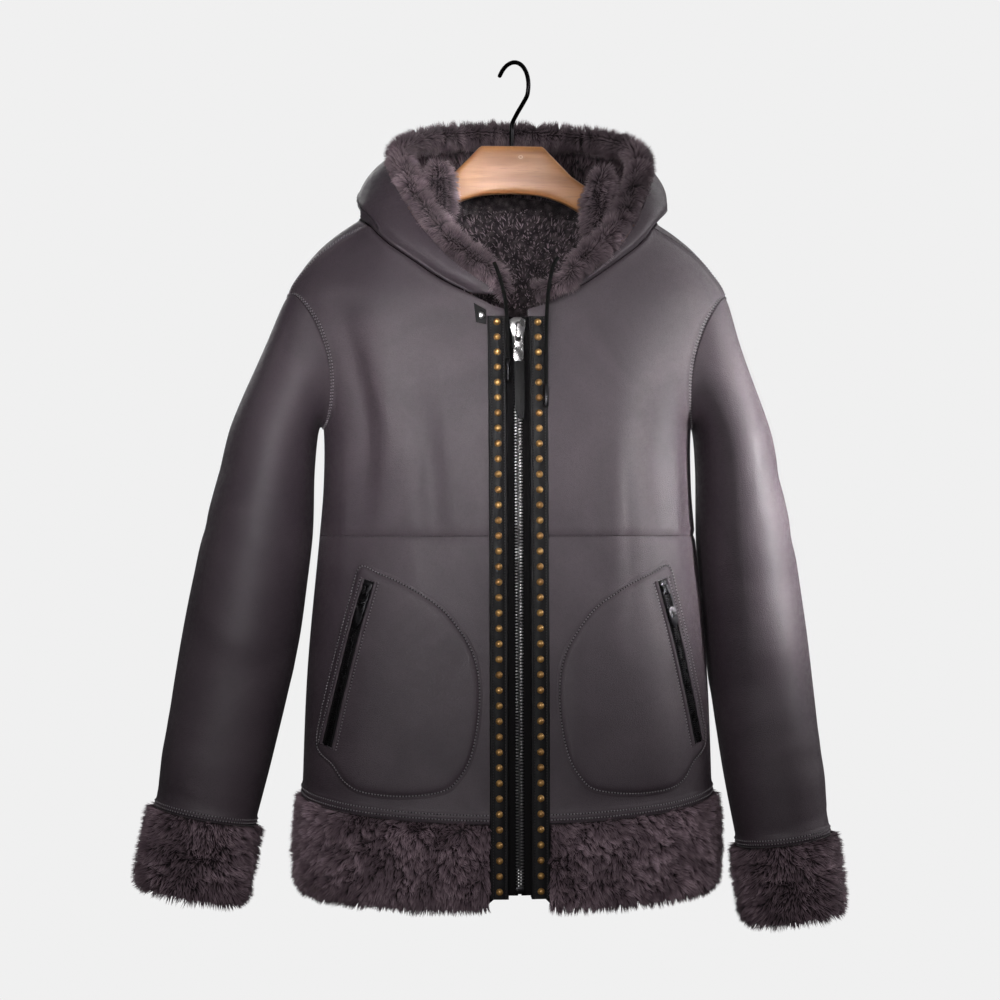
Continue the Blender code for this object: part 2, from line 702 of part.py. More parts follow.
def make_rolls():
    """The roll in three lengths, with a ring at each column of the panel under it."""
    seam = HOOD_SEAM_TOP
    left = [0.022, 0.045] + spread(HOOD_FRONT, seam - HOOD_GAP, HOOD_SIDE_COLUMNS)
    add_roll("hood_fur_L", left, lambda s: 0.5 + 0.5 * smooth(s * 4))
    add_roll("hood_fur_R", [2 - way for way in reversed(left)], lambda s: 0.5 + 0.5 * smooth((1 - s) * 4))
    add_roll("hood_fur_centre", spread(seam + HOOD_GAP, 2 - seam - HOOD_GAP, 8), lambda s: 1.0)


# ---- Front closure ------------------------------------------------------------------------------------------
def on_front(x, level, out):
    """Point of the front, x metres from its centre line, `out` metres outside the leather."""
    return body(angle_at(x, level), level, out)


def add_strip(name, left, right, levels, low, high, finish):
    """A flat strip that follows the front: two distances from the centre and two heights over the leather."""
    rings = [
        [on_front(left, z, low), on_front(right, z, low), on_front(right, z, high), on_front(left, z, high)]
        for z in levels
    ]
    return add_loft(name, rings, finish)


def add_domes(name, places, radius, height, sink):
    """Low six-sided domes in one mesh, each on a place and its outward direction."""
    bm = bmesh.new()
    for place, normal in places:
        side = normal.cross(Vector((0, 0, 1))).normalized()
        upward = side.cross(normal)
        foot, rim = [], []
        for k in range(6):
            a = math.pi * k / 3
            way = side * math.cos(a) + upward * math.sin(a)
            foot.append(bm.verts.new(place + way * radius - normal * sink))
            rim.append(bm.verts.new(place + way * radius * 0.75 + normal * height * 0.75))
        top = bm.verts.new(place + normal * height)
        bm.faces.new(foot)
        for k in range(6):
            m = (k + 1) % 6
            bm.faces.new((foot[k], foot[m], rim[m], rim[k]))
            bm.faces.new((rim[k], rim[m], top))
    return add_mesh(name, bm, "black_leather")


def make_placket(side, flip):
    near, far = flip * OPENING, flip * (OPENING + PLACKET_WIDTH)
    top = REST + PLACKET_THICK
    strip = add_strip(
        f"placket_{side}", near, far, spread(PLACKET_TOP, PLACKET_END, 24), REST, top, "black_leather"
    )
    middle = (near + far) / 2
    places = []
    for index in range(STUD_COUNT):
        level = PLACKET_TOP - FIRST_STUD - STUD_PITCH * index
        normal = normal_of(body_base, angle_at(middle, level), level, 0.5, 0.001)
        places.append((on_front(middle, level, top), normal))
    combine(strip, add_domes("studs", places, STUD_RADIUS, STUD_HEIGHT, STUD_SINK), "UNION")


def make_zip():
    levels = spread(CHAIN_TOP, CHAIN_END, 16)
    half = CHAIN_WIDTH / 2
    add_strip("zip_chain", -half, half, levels, CHAIN_RISE - CHAIN_THICK, CHAIN_RISE, "zip_metal")
    tape_levels = spread(PLACKET_TOP, PLACKET_END + 0.004, 16)
    for side, flip in (("L", 1), ("R", -1)):
        near, far = flip * (half + SEAM), flip * (OPENING - SEAM)
        add_strip(f"zip_tape_{side}", near, far, tape_levels, TAPE_LOW, TAPE_LOW + TAPE_THICK, "zip_tape")
    ends = spread(CHAIN_END - SEAM, CHAIN_END - SEAM - BOX_HEIGHT, 1)
    add_strip("zip_box", -BOX_WIDTH / 2, BOX_WIDTH / 2, ends, BOX_LOW, BOX_HIGH, "black_metal")


def add_slider(name, frame, sizes, finish):
    """A zip slider with an open bridge, in the frame's axes: x across, y up the zip, z away from the cloth."""
    width, length, thick = sizes["width"], sizes["length"], sizes["thick"]
    bm = bmesh.new()
    half = width / 2
    plan = [
        (-half * 0.62, -length / 2), (half * 0.62, -length / 2), (half * 0.70, -length * 0.10),
        (half, length * 0.18), (half, length * 0.42), (half * 0.45, length / 2),
        (-half * 0.45, length / 2), (-half, length * 0.42), (-half, length * 0.18), (-half * 0.70, -length * 0.10),
    ]
    rings = [[bm.verts.new((x, y, z)) for x, y in plan] for z in (0.0, thick)]
    for k in range(len(plan)):
        m = (k + 1) % len(plan)
        bm.faces.new((rings[0][k], rings[0][m], rings[1][m], rings[1][k]))
    bm.faces.new(rings[0])
    bm.faces.new(rings[1])
    plate = add_mesh(name, bm, finish)
    bridge = bmesh.new()
    arch = width * 0.13
    foot, crown = -0.0005 + thick, thick + BRIDGE_RISE * width
    outline = [
        (-length * 0.30, foot), (-length * 0.30, crown - arch), (-length * 0.22, crown),
        (length * 0.22, crown), (length * 0.30, crown - arch), (length * 0.30, foot),
        (length * 0.21, foot), (length * 0.21, crown - arch * 1.9), (length * 0.17, crown - arch * 1.5),
        (-length * 0.17, crown - arch * 1.5), (-length * 0.21, crown - arch * 1.9), (-length * 0.21, foot),
    ]
    sides = [[bridge.verts.new((x, y, z)) for y, z in outline] for x in (-arch, arch)]
    for k in range(len(outline)):
        m = (k + 1) % len(outline)
        bridge.faces.new((sides[0][k], sides[0][m], sides[1][m], sides[1][k]))
    bridge.faces.new(sides[0])
    bridge.faces.new(sides[1])
    combine(plate, add_mesh("bridge", bridge, finish), "UNION")
    plate.matrix_world = frame
    return plate


def zip_frame(place, up, outward):
    """Axes on the cloth: x across the zip, y up along it, z away from the cloth."""
    z = outward.normalized()
    x = up.cross(z).normalized()
    y = z.cross(x)
    matrix = Matrix((x, y, z)).transposed().to_4x4()
    matrix.translation = place
    return matrix


def pull_pivot(seat, sizes):
    """Frame of a pull whose bar hangs on the lower leg of a slider's bridge."""
    inner_leg = -sizes["length"] * 0.21
    reach = math.hypot(sizes["bar"], sizes["pull_thick"]) / 2 + 0.00015
    return seat @ Matrix.Translation((0, inner_leg + reach, sizes["thick"] + BRIDGE_RISE * sizes["width"] * 0.36))


def add_pull(name, frame, sizes, finish):
    """A pull that hangs from its top bar, which lies on the frame's x axis at the frame's origin."""
    width, length, thick, bar = sizes["pull_width"], sizes["pull_length"], sizes["pull_thick"], sizes["bar"]
    bm = bmesh.new()
    half, hole = width / 2, width / 2 - bar
    outer = [(-half, bar / 2), (half, bar / 2), (half, -length * 0.8), (half * 0.5, -length),
             (-half * 0.5, -length), (-half, -length * 0.8)]
    window = [(-hole, -bar / 2), (hole, -bar / 2), (hole, -length * 0.36), (hole * 0.8, -length * 0.44),
              (-hole * 0.8, -length * 0.44), (-hole, -length * 0.36)]
    made = []
    for z in (-thick / 2, thick / 2):
        made.append(([bm.verts.new((x, y, z)) for x, y in outer], [bm.verts.new((x, y, z)) for x, y in window]))
    for k in range(6):
        m = (k + 1) % 6
        (low_out, low_in), (high_out, high_in) = made
        bm.faces.new((low_out[k], low_out[m], high_out[m], high_out[k]))
        bm.faces.new((low_in[k], high_in[k], high_in[m], low_in[m]))
        bm.faces.new((low_out[k], low_in[k], low_in[m], low_out[m]))
        bm.faces.new((high_out[k], high_out[m], high_in[m], high_in[k]))
    pull = add_mesh(name, bm, finish)
    pull.matrix_world = frame
    return pull


def make_main_slider():
    normal = normal_of(body_base, 0.0, MAIN_SLIDER_LEVEL, 0.5, 0.001)
    seat = zip_frame(on_front(0, MAIN_SLIDER_LEVEL, CHAIN_RISE + SEAM), Vector((0, 0, 1)), normal)
    add_slider("zip_slider", seat, MAIN_SLIDER, "zip_metal")
    pivot = pull_pivot(seat, MAIN_SLIDER)
    add_pull("zip_pull", pivot, MAIN_SLIDER, "zip_metal")
    strap = bmesh.new()
    made = [[strap.verts.new((x, y, z)) for x, y in STRAP] for z in (STRAP_BACK, STRAP_FRONT)]
    for k in range(6):
        m = (k + 1) % 6
        strap.faces.new((made[0][k], made[0][m], made[1][m], made[1][k]))
    strap.faces.new(made[0])
    strap.faces.new(made[1])
    leather = add_mesh("zip_pull_strap", strap, "black_leather")
    leather.matrix_world = pivot


# ---- Pockets ------------------------------------------------------------------------------------------------
def pocket_outline(count):
    """Evenly shared points of the pocket's closed outline, wearer's left."""
    size = len(POCKET)
    keyed = [(i, *POCKET[i % size]) for i in range(-2, size + 3)]
    return [read(keyed, size * k / count) for k in range(count)]


def make_pocket(side, flip):
    ring = pocket_outline(POCKET_POINTS)
    centre_x = sum(p[0] for p in ring) / len(ring)
    centre_z = sum(p[1] for p in ring) / len(ring)
    shares = [0.0, 0.3, 0.55, 0.8, 1.0]
    bm = bmesh.new()
    layers = []
    for out in (POCKET_REST, POCKET_REST + POCKET_THICK):
        rings = []
        for share in shares[1:]:
            rings.append([
                bm.verts.new(on_front(
                    flip * (centre_x + (x - centre_x) * share), centre_z + (z - centre_z) * share, out
                ))
                for x, z in ring
            ])
        layers.append((bm.verts.new(on_front(flip * centre_x, centre_z, out)), rings))
    count = len(ring)
    for middle, rings in layers:
        for k in range(count):
            m = (k + 1) % count
            bm.faces.new((middle, rings[0][k], rings[0][m]))
            for a, b in zip(rings, rings[1:]):
                bm.faces.new((a[k], b[k], b[m], a[m]))
    low, high = layers[0][1][-1], layers[1][1][-1]
    for k in range(count):
        m = (k + 1) % count
        bm.faces.new((low[k], low[m], high[m], high[k]))
    patch = add_mesh(f"pocket_{side}", bm, "leather")
    cutter = pocket_strip("slit", flip, POCKET_ZIP_WIDTH / 2, -0.004, 0.010, 0.0, "zip_tape")
    combine(patch, cutter, "DIFFERENCE")
    tape = POCKET_ZIP_WIDTH / 2 - 0.0005
    pocket_strip(f"pocket_tape_{side}", flip, tape, REST, REST + TAPE_THICK, 0.0006, "zip_tape")


def pocket_route(flip, share):
    keyed = [(i / 3, *p) for i, p in enumerate(POCKET_ZIP)]
    x, z = read(keyed, share)
    return flip * x, z


def pocket_strip(name, flip, half, low, high, short, finish):
    """A strip along the pocket's slit."""
    rings = []
    for share in spread(short / 0.16, 1 - short / 0.16, 8):
        x, z = pocket_route(flip, share)
        ahead_x, ahead_z = pocket_route(flip, min(share + 0.02, 1.0))
        behind_x, behind_z = pocket_route(flip, max(share - 0.02, 0.0))
        along = Vector((ahead_x - behind_x, ahead_z - behind_z)).normalized()
        side = Vector((-along.y, along.x)) * half
        corners = [(x - side.x, z - side.y), (x + side.x, z + side.y)]
        a, b = corners
        rings.append([on_front(*a, low), on_front(*b, low), on_front(*b, high), on_front(*a, high)])
    return add_loft(name, rings, finish)


def make_pocket_slider(side, flip):
    x, z = pocket_route(flip, POCKET_SLIDER_WAY)
    top_x, top_z = pocket_route(flip, 0.0)
    low_x, low_z = pocket_route(flip, 0.2)
    normal = normal_of(body_base, angle_at(x, z), z, 0.5, 0.001)
    up = on_front(top_x, top_z, 0) - on_front(low_x, low_z, 0)
    seat = zip_frame(on_front(x, z, REST + TAPE_THICK + 0.0006), up, normal)
    add_slider(f"pocket_slider_{side}", seat, POCKET_SLIDER, "black_metal")
    pivot = pull_pivot(seat, POCKET_SLIDER)
    add_pull(f"pocket_pull_{side}", pivot, POCKET_SLIDER, "black_metal")


# ---- Drawcords ----------------------------------------------------------------------------------------------
# Drawcord routes from the fur roll down: x, level, distance outside the front.
CORD_R = [
    (-0.0235, -0.2150, 0.0278), (-0.0205, -0.2220, 0.0270), (-0.0155, -0.2360, 0.0230), (-0.0120, -0.2520, 0.0165),
    (-0.0108, -0.2700, 0.0115), (-0.0104, -0.2850, 0.0085), (-0.0102, -0.3000, 0.0070),
]
CORD_L = [
    (0.0350, -0.2140, 0.0395), (0.0305, -0.2210, 0.0388), (0.0268, -0.2360, 0.0332), (0.0262, -0.2520, 0.0235),
    (0.0264, -0.2750, 0.0135), (0.0264, -0.3000, 0.0085), (0.0262, -0.3250, 0.0070),
]
AGLET_LENGTH = 0.022
AGLET_RADIUS = 0.0026


def make_cord(side, route):
    """A hanging drawcord and its metal end; the route is x, level and distance outside the front."""
    points = [on_front(*row) for row in route]
    keyed = [(i, *p) for i, p in enumerate(points)]
    count = 16
    fine = [Vector(read(keyed, (len(points) - 1) * k / count)) for k in range(count + 1)]
    curve = bpy.data.curves.new(f"drawcord_{side}", "CURVE")
    curve.dimensions = "3D"
    curve.bevel_depth = CORD_DIAMETER / 2
    curve.bevel_resolution = 2
    curve.use_fill_caps = True
    curve.render_resolution_u = 0
    line = curve.splines.new("POLY")
    line.points.add(count)
    for spot, point in zip(line.points, fine):
        spot.co = (*point, 1)
    cord = bpy.data.objects.new(f"drawcord_{side}", curve)
    bpy.context.scene.collection.objects.link(cord)
    curve.materials.append(material("cord"))
    way = (fine[-1] - fine[-2]).normalized()
    side_way = way.cross(Vector((0, 1, 0))).normalized()
    front_way = side_way.cross(way)
    rings = []
    for share, radius in ((0.0, 0.8), (0.06, 1.0), (0.94, 1.0), (1.0, 0.8)):
        centre = fine[-1] + way * (0.0003 + AGLET_LENGTH * share)
        rings.append([
            centre + (side_way * math.cos(a) + front_way * math.sin(a)) * AGLET_RADIUS * radius
            for a in [math.pi * k / 4 for k in range(8)]
        ])
    add_loft(f"aglet_{side}", rings, "black_metal")


# ---- Throat tab ---------------------------------------------------------------------------------------------
def make_throat_tab():
    """The small tab beside the neckline at the wearer's right, and its snap."""
    corners = [(-0.0420, -0.2450), (-0.0300, -0.2520), (-0.0300, -0.2660), (-0.0400, -0.2640)]
    low = [on_front(x, z, REST) for x, z in corners]
    high = [on_front(x, z, REST + 0.0020) for x, z in corners]
    add_loft("throat_tab", [low, high], "black_leather")
    place = (-0.0350, -0.2575)
    normal = normal_of(body_base, angle_at(*place), place[1], 0.5, 0.001)
    centre = on_front(*place, REST + 0.0020 + 0.0004)
    side = normal.cross(Vector((0, 0, 1))).normalized()
    upward = side.cross(normal)
    rings = []
    for radius, rise in ((0.0036, 0.0), (0.0036, 0.0008), (0.0022, 0.0016)):
        rings.append([
            centre + normal * rise + (side * math.cos(a) + upward * math.sin(a)) * radius
            for a in [math.pi * k / 4 for k in range(8)]
        ])
    add_loft("snap", rings, "zip_metal")


# ---- Hanger -------------------------------------------------------------------------------------------------
def make_hanger():
    rings = []
    rows = [(-row[0], *row[1:]) for row in reversed(HANGER[1:])] + HANGER
    for x, top, bottom, half, y in rows:
        bevel = min(half * 0.6, (top - bottom) * 0.25)
        rings.append([
            Vector((x, y + sy, z))
            for sy, z in (
                (-half + bevel, top), (half - bevel, top), (half, top - bevel), (half, bottom + bevel),
                (half - bevel, bottom), (-half + bevel, bottom), (-half, bottom + bevel), (-half, top - bevel),
            )
        ])
    add_loft("hanger_bar", rings, "wood")


def make_hook():
    """The wire hook: an upright stem, a bend forward, and the crook over what holds it."""
    centre_z = WIRE_RADIUS - CROOK_RADIUS
    turn = math.radians(HOOK_TURN)
    forward = Vector((math.sin(turn), -math.cos(turn), 0))
    flat = [(0.0, STEM_FOOT), (0.0, -0.069), (0.0010, -0.0590), (0.0085, -0.0500), (0.0190, -0.0400)]
    for degrees in range(-24, 150, 14):
        a = math.radians(degrees)
        flat.append((CROOK_REACH + CROOK_RADIUS * math.cos(a), centre_z + CROOK_RADIUS * math.sin(a)))
    keyed = [(i, *p) for i, p in enumerate(flat)]
    count = 28
    points = []
    for k in range(count + 1):
        reach, z = read(keyed, (len(flat) - 1) * k / count)
        points.append(forward * reach + Vector((0, 0, z)))
    side = forward.cross(Vector((0, 0, 1)))
    rings = []
    for index, point in enumerate(points):
        way = (points[min(index + 1, count)] - points[max(index - 1, 0)]).normalized()
        other = side.cross(way)
        rings.append([
            point + (side * math.cos(a) + other * math.sin(a)) * WIRE_RADIUS
            for a in [math.pi * k / 4 for k in range(8)]
        ])
    add_loft("hanger_hook", rings, "wire")


# ---- Build --------------------------------------------------------------------------------------------------
def main():
    for obj in list(bpy.data.objects):
        bpy.data.objects.remove(obj)
    make_body()
    make_hem()
    make_hood()
    make_rolls()
    make_zip()
    make_main_slider()
    for side, flip in (("L", 1), ("R", -1)):
        make_sleeve(side, flip)
        make_cuff(side, flip)
        make_placket(side, flip)
        make_pocket(side, flip)
        make_pocket_slider(side, flip)
    make_cord("R", CORD_R)
    make_cord("L", CORD_L)
    make_throat_tab()
    for obj in bpy.data.objects:
        obj.location.x += JACKET_SHIFT
    make_hanger()
    make_hook()


main()
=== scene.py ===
"""Looks of the hooded shearling jacket on its wooden hanger.

Metres, +Z up, the front faces -Y and the wearer's left is at +X. The leather shells are worked out
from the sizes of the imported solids, with shallower folds on the sleeves. The wool, stitches, studs
and zip teeth are laid on them by node trees.
"""
import math

import bmesh
import bpy
import numpy as np
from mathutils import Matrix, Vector


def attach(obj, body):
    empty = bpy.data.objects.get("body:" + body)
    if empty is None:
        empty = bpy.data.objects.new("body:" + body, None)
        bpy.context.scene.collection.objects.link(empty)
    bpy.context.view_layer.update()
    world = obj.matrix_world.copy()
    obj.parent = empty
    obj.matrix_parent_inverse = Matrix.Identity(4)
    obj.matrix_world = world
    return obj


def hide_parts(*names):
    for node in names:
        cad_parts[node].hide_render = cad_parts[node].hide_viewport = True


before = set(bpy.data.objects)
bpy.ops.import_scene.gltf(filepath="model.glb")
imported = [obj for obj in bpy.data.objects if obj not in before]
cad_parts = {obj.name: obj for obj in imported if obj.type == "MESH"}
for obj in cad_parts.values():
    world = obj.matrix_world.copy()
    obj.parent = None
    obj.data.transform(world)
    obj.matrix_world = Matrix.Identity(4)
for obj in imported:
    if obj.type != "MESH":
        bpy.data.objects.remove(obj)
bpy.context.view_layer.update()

# ---- Driving sizes -------------------------------------------------------------------------------
WALL = 0.008                # shearling, leather and wool together
SEAM = 0.0004               # space between two cut edges
REST = 0.0006               # space under a piece that lies on a panel
WALL_SHORT = 0.0006         # how much thinner the body's and sleeves' shells are than the solids
FULLNESS = 2.2              # exponent of the body's rounded cross-sections
HEM_TOP = -0.720            # level where the leather ends and the fur hem starts
WAIST = -0.470
UNDERARM = -0.365
TIP = -0.232                # shoulder tip
NECK_FRONT = -0.250
NECK_SIDE = -0.165
OPENING = 0.011             # half the space between the two front edges
PLACKET_WIDTH = 0.0178
PLACKET_THICK = 0.0022
PLACKET_TOP = -0.258
PLACKET_END = -0.804
STUD_COUNT = 37
STUD_PITCH = 0.01475
CHAIN_TOP = -0.278
CHAIN_END = -0.789
TAPE_LOW, TAPE_HIGH = -0.0030, -0.0018
ROLL_LONG = 0.0145          # half-sizes of the fur roll along the hood's edge
ROLL_THICK = 0.0125
ROLL_SPACE = 0.0009
ROLL_SET_BACK = 0.002
JACKET_SHIFT = -0.0035      # the jacket hangs a little to the wearer's right of the hook
SHIFT = np.array([JACKET_SHIFT, 0, 0])

BODY = [                    # level, half-width, depth in front of and behind the side seam
    (-0.825, 0.207, 0.108, 0.098), (-0.720, 0.205, 0.106, 0.096), (-0.600, 0.200, 0.103, 0.092),
    (-0.471, 0.188, 0.098, 0.090), (-0.420, 0.184, 0.095, 0.092), (-0.365, 0.184, 0.092, 0.095),
    (-0.335, 0.190, 0.090, 0.098), (-0.300, 0.200, 0.086, 0.101), (-0.265, 0.212, 0.081, 0.103),
    (-0.232, 0.219, 0.076, 0.104), (-0.206, 0.204, 0.069, 0.102), (-0.186, 0.187, 0.063, 0.099),
    (-0.171, 0.169, 0.057, 0.096), (-0.158, 0.150, 0.050, 0.093), (-0.140, 0.125, 0.040, 0.090),
    (-0.125, 0.105, 0.030, 0.088),
]
DROP = [                    # level, drop in front
    (-0.825, 0.010), (-0.720, 0.026), (-0.600, 0.012), (-0.480, 0.0), (-0.100, 0.0),
]

# Large soft folds: angle from the front centre, level, half-width in degrees, half-length, height, lean.
FOLDS = [
    (-38, -0.320, 7, 0.090, 0.0045, 20), (-24, -0.420, 6, 0.070, -0.0035, -30),
    (-50, -0.360, 6, 0.080, -0.0040, 0), (33, -0.400, 8, 0.080, 0.0040, -25),
    (20, -0.420, 6, 0.060, -0.0035, 10), (48, -0.380, 6, 0.080, -0.0040, 0),
    (-45, -0.640, 10, 0.080, 0.0035, 25), (42, -0.640, 10, 0.080, 0.0035, -25),
    (150, -0.420, 9, 0.120, 0.0050, 10), (-150, -0.420, 9, 0.120, 0.0050, -10),
    (172, -0.560, 8, 0.140, -0.0045, 5), (125, -0.600, 8, 0.110, -0.0045, 15),
    (-125, -0.620, 8, 0.110, -0.0045, -15),
]
# Smaller creases that only the leather shells carry, in the same columns.
CREASES = [
    (-30, -0.455, 3.2, 0.060, 0.0022, -10), (-22, -0.470, 3.0, 0.050, -0.0018, -10),
    (27, -0.480, 3.0, 0.070, 0.0024, 0), (34, -0.450, 2.6, 0.050, -0.0018, 12),
    (60, -0.430, 4.0, 0.060, 0.0018, 30), (-62, -0.440, 4.0, 0.060, 0.0018, -30),
    (16, -0.600, 3.0, 0.090, 0.0016, 0), (-16, -0.620, 3.0, 0.080, -0.0014, 0),
    (38, -0.700, 5.0, 0.012, -0.0014, 0), (-40, -0.705, 6.0, 0.012, -0.0014, 0),
    (100, -0.480, 5.0, 0.080, 0.0020, 30), (-104, -0.500, 5.0, 0.080, 0.0022, -20),
    (140, -0.300, 5.0, 0.060, 0.0022, 60), (-138, -0.310, 5.0, 0.060, 0.0022, -60),
    (-20, -0.405, 2.6, 0.070, 0.0028, -12), (-43, -0.330, 3.5, 0.060, 0.0026, 0),
    (29, -0.440, 2.6, 0.060, 0.0030, -10), (36, -0.455, 2.4, 0.045, 0.0022, 8),
    (13.5, -0.640, 2.2, 0.100, 0.0016, 0), (-25, -0.452, 8, 0.006, 0.0010, 0),
    (-52, -0.700, 6, 0.008, -0.0012, 0),
    (165, -0.460, 4.0, 0.090, 0.0018, -15), (-168, -0.640, 4.0, 0.070, 0.0018, 12),
]
NECKLINE = [                # from the front centre to the back centre: level, angle
    (-0.250, 3.6), (-0.237, 9.5), (-0.225, 16), (-0.213, 22), (-0.200, 29), (-0.187, 38), (-0.175, 48),
    (-0.165, 60), (-0.158, 80), (-0.151, 100), (-0.144, 118), (-0.138, 136), (-0.133, 155), (-0.1305, 171),
]
SLEEVE = {                  # way along, distance out, level, half-width, half-depth, tilt in degrees
    "R": [
        (0.00, 0.217, -0.300, 0.062, 0.055, 70), (0.12, 0.2210, -0.333, 0.044, 0.060, 46),
        (0.25, 0.2350, -0.388, 0.0455, 0.067, 18), (0.40, 0.2480, -0.470, 0.0540, 0.070, 9),
        (0.60, 0.267, -0.580, 0.057, 0.065, 10), (0.80, 0.285, -0.672, 0.054, 0.058, 11),
        (1.00, 0.300, -0.746, 0.050, 0.050, 11),
    ],
    "L": [
        (0.00, 0.217, -0.300, 0.062, 0.055, 70), (0.12, 0.2175, -0.333, 0.039, 0.060, 46),
        (0.25, 0.2290, -0.390, 0.0395, 0.066, 16), (0.40, 0.2400, -0.480, 0.0480, 0.069, 7),
        (0.60, 0.254, -0.595, 0.051, 0.064, 7), (0.80, 0.267, -0.693, 0.050, 0.057, 7.5),
        (1.00, 0.280, -0.777, 0.047, 0.050, 8),
    ],
}
SLEEVE_FOLDS = [            # way along, turn in degrees, reach along, reach round in degrees, height
    (0.22, 55, 0.08, 40, 0.0016), (0.32, 100, 0.07, 45, -0.0010), (0.50, -20, 0.06, 50, -0.0020),
    (0.57, 10, 0.06, 50, 0.0020), (0.64, -15, 0.06, 50, -0.0016), (0.86, 40, 0.05, 60, 0.0020),
    (0.55, 200, 0.07, 60, 0.0035),
]
SLEEVE_CREASES = [          # the same columns, for the shells alone
    (0.45, -32, 0.012, 26, -0.0012), (0.485, -6, 0.010, 22, 0.0010), (0.535, -40, 0.010, 24, -0.0012),
    (0.585, 8, 0.012, 26, 0.0010), (0.64, -28, 0.013, 28, -0.0010), (0.78, 34, 0.018, 40, 0.0009),
    (0.965, -20, 0.010, 22, -0.0012), (0.955, 22, 0.010, 20, -0.0012), (0.950, 60, 0.011, 26, -0.0012),
    (0.30, 60, 0.018, 26, -0.0016), (0.36, 32, 0.018, 30, 0.0014), (0.40, 78, 0.020, 30, -0.0014),
    (0.48, 170, 0.020, 50, -0.0018), (0.63, 200, 0.020, 55, 0.0018), (0.74, 170, 0.020, 50, -0.0016),
]
CUFF_LENGTH = 0.078
ARMHOLE_SPREAD = 24
ARMHOLE_TIP = 80
ARMHOLE_SPACE = 0.0007
ARMHOLE_INSET = 0.12
SLEEVE_SET_BACK = 0.004
SHOULDER_SEAM = [(-0.232, 80), (-0.200, 75), (-0.165, 61)]      # level, angle
HOOD = [                    # way round, the leather's edge x, y, z, bulge, sag
    (0.00, 0.014, -0.082, -0.2440, 0.000, 0.000), (0.10, 0.032, -0.085, -0.2340, 0.002, 0.000),
    (0.20, 0.055, -0.082, -0.2200, 0.003, 0.000), (0.32, 0.083, -0.071, -0.1960, 0.004, 0.000),
    (0.44, 0.108, -0.051, -0.1640, 0.008, 0.000), (0.54, 0.124, -0.026, -0.1330, 0.012, 0.002),
    (0.64, 0.134, 0.010, -0.1060, 0.020, 0.008), (0.73, 0.126, 0.046, -0.0870, 0.035, 0.024),
    (0.82, 0.098, 0.080, -0.0740, 0.052, 0.048), (0.91, 0.053, 0.100, -0.0670, 0.066, 0.072),
    (1.00, 0.000, 0.107, -0.0640, 0.070, 0.082),
]
HOOD_LEAN = 0.013
HOOD_SWELL = 1.1            # exponents of the height that place the fullest and the lowest point
HOOD_DROOP = 0.7
HOOD_TURN_HEIGHT = 0.3      # height over which the wall turns into the hood's own direction at the back
HOOD_SIDE_WAY = 0.38        # way round up to which the wall turns evenly, and the length of the change
HOOD_SIDE_BLEND = 0.54
HOOD_SEAM_FOOT = 6
HOOD_SEAM_TOP = 0.86
HOOD_LIFT = 0.0013
HOOD_GAP = 0.0016           # half the space at a hood seam, as a way round
HOOD_ROUND = 0.42           # length round the hood of a way of 1, and up it of a height of 1, about
HOOD_RISE = 0.09
NECK_COUNT = len(NECKLINE)
HOOD_FRONT = 1 / NECK_COUNT
POCKET = [                  # pocket patch outline at the wearer's left: x, level
    (0.152, -0.4955), (0.134, -0.501), (0.108, -0.512), (0.074, -0.532), (0.052, -0.556), (0.0405, -0.577),
    (0.0360, -0.602), (0.0375, -0.632), (0.0445, -0.662), (0.056, -0.681), (0.073, -0.694), (0.114, -0.701),
    (0.150, -0.701), (0.167, -0.694), (0.178, -0.681), (0.193, -0.668), (0.190, -0.638), (0.177, -0.582),
    (0.162, -0.527),
]
POCKET_ZIP = [(0.141, -0.512), (0.155, -0.560), (0.168, -0.612), (0.180, -0.662)]       # x, level
POCKET_ZIP_WIDTH = 0.0110
POCKET_STITCH_INSET = 0.0032
HANGER = [                  # x, top level, bottom level, half-thickness, y
    (0.000, -0.0815, -0.1290, 0.0065, 0.000), (0.031, -0.0815, -0.1315, 0.0065, 0.000),
    (0.060, -0.1110, -0.1420, 0.0075, 0.002), (0.100, -0.1374, -0.1684, 0.0100, 0.006),
    (0.150, -0.1754, -0.2014, 0.0130, 0.010), (0.176, -0.2004, -0.2204, 0.0140, 0.012),
]
HOOK_TURN = 32
CROOK_RADIUS = 0.0255
CROOK_REACH = 0.0015
WIRE_RADIUS = 0.0022
STEM_FOOT = -0.0812
CORD_DIAMETER = 0.0038
CORD_ROUTES = {             # x, level, distance outside the front
    "R": [
        (-0.0235, -0.2150, 0.0278), (-0.0205, -0.2220, 0.0270), (-0.0155, -0.2360, 0.0230),
        (-0.0120, -0.2520, 0.0165), (-0.0108, -0.2700, 0.0115), (-0.0104, -0.2850, 0.0085),
        (-0.0102, -0.3000, 0.0070),
    ],
    "L": [
        (0.0350, -0.2140, 0.0395), (0.0305, -0.2210, 0.0388), (0.0268, -0.2360, 0.0332),
        (0.0262, -0.2520, 0.0235), (0.0264, -0.2750, 0.0135), (0.0264, -0.3000, 0.0085),
        (0.0262, -0.3250, 0.0070),
    ],
}
SIDES = (("L", 1), ("R", -1))


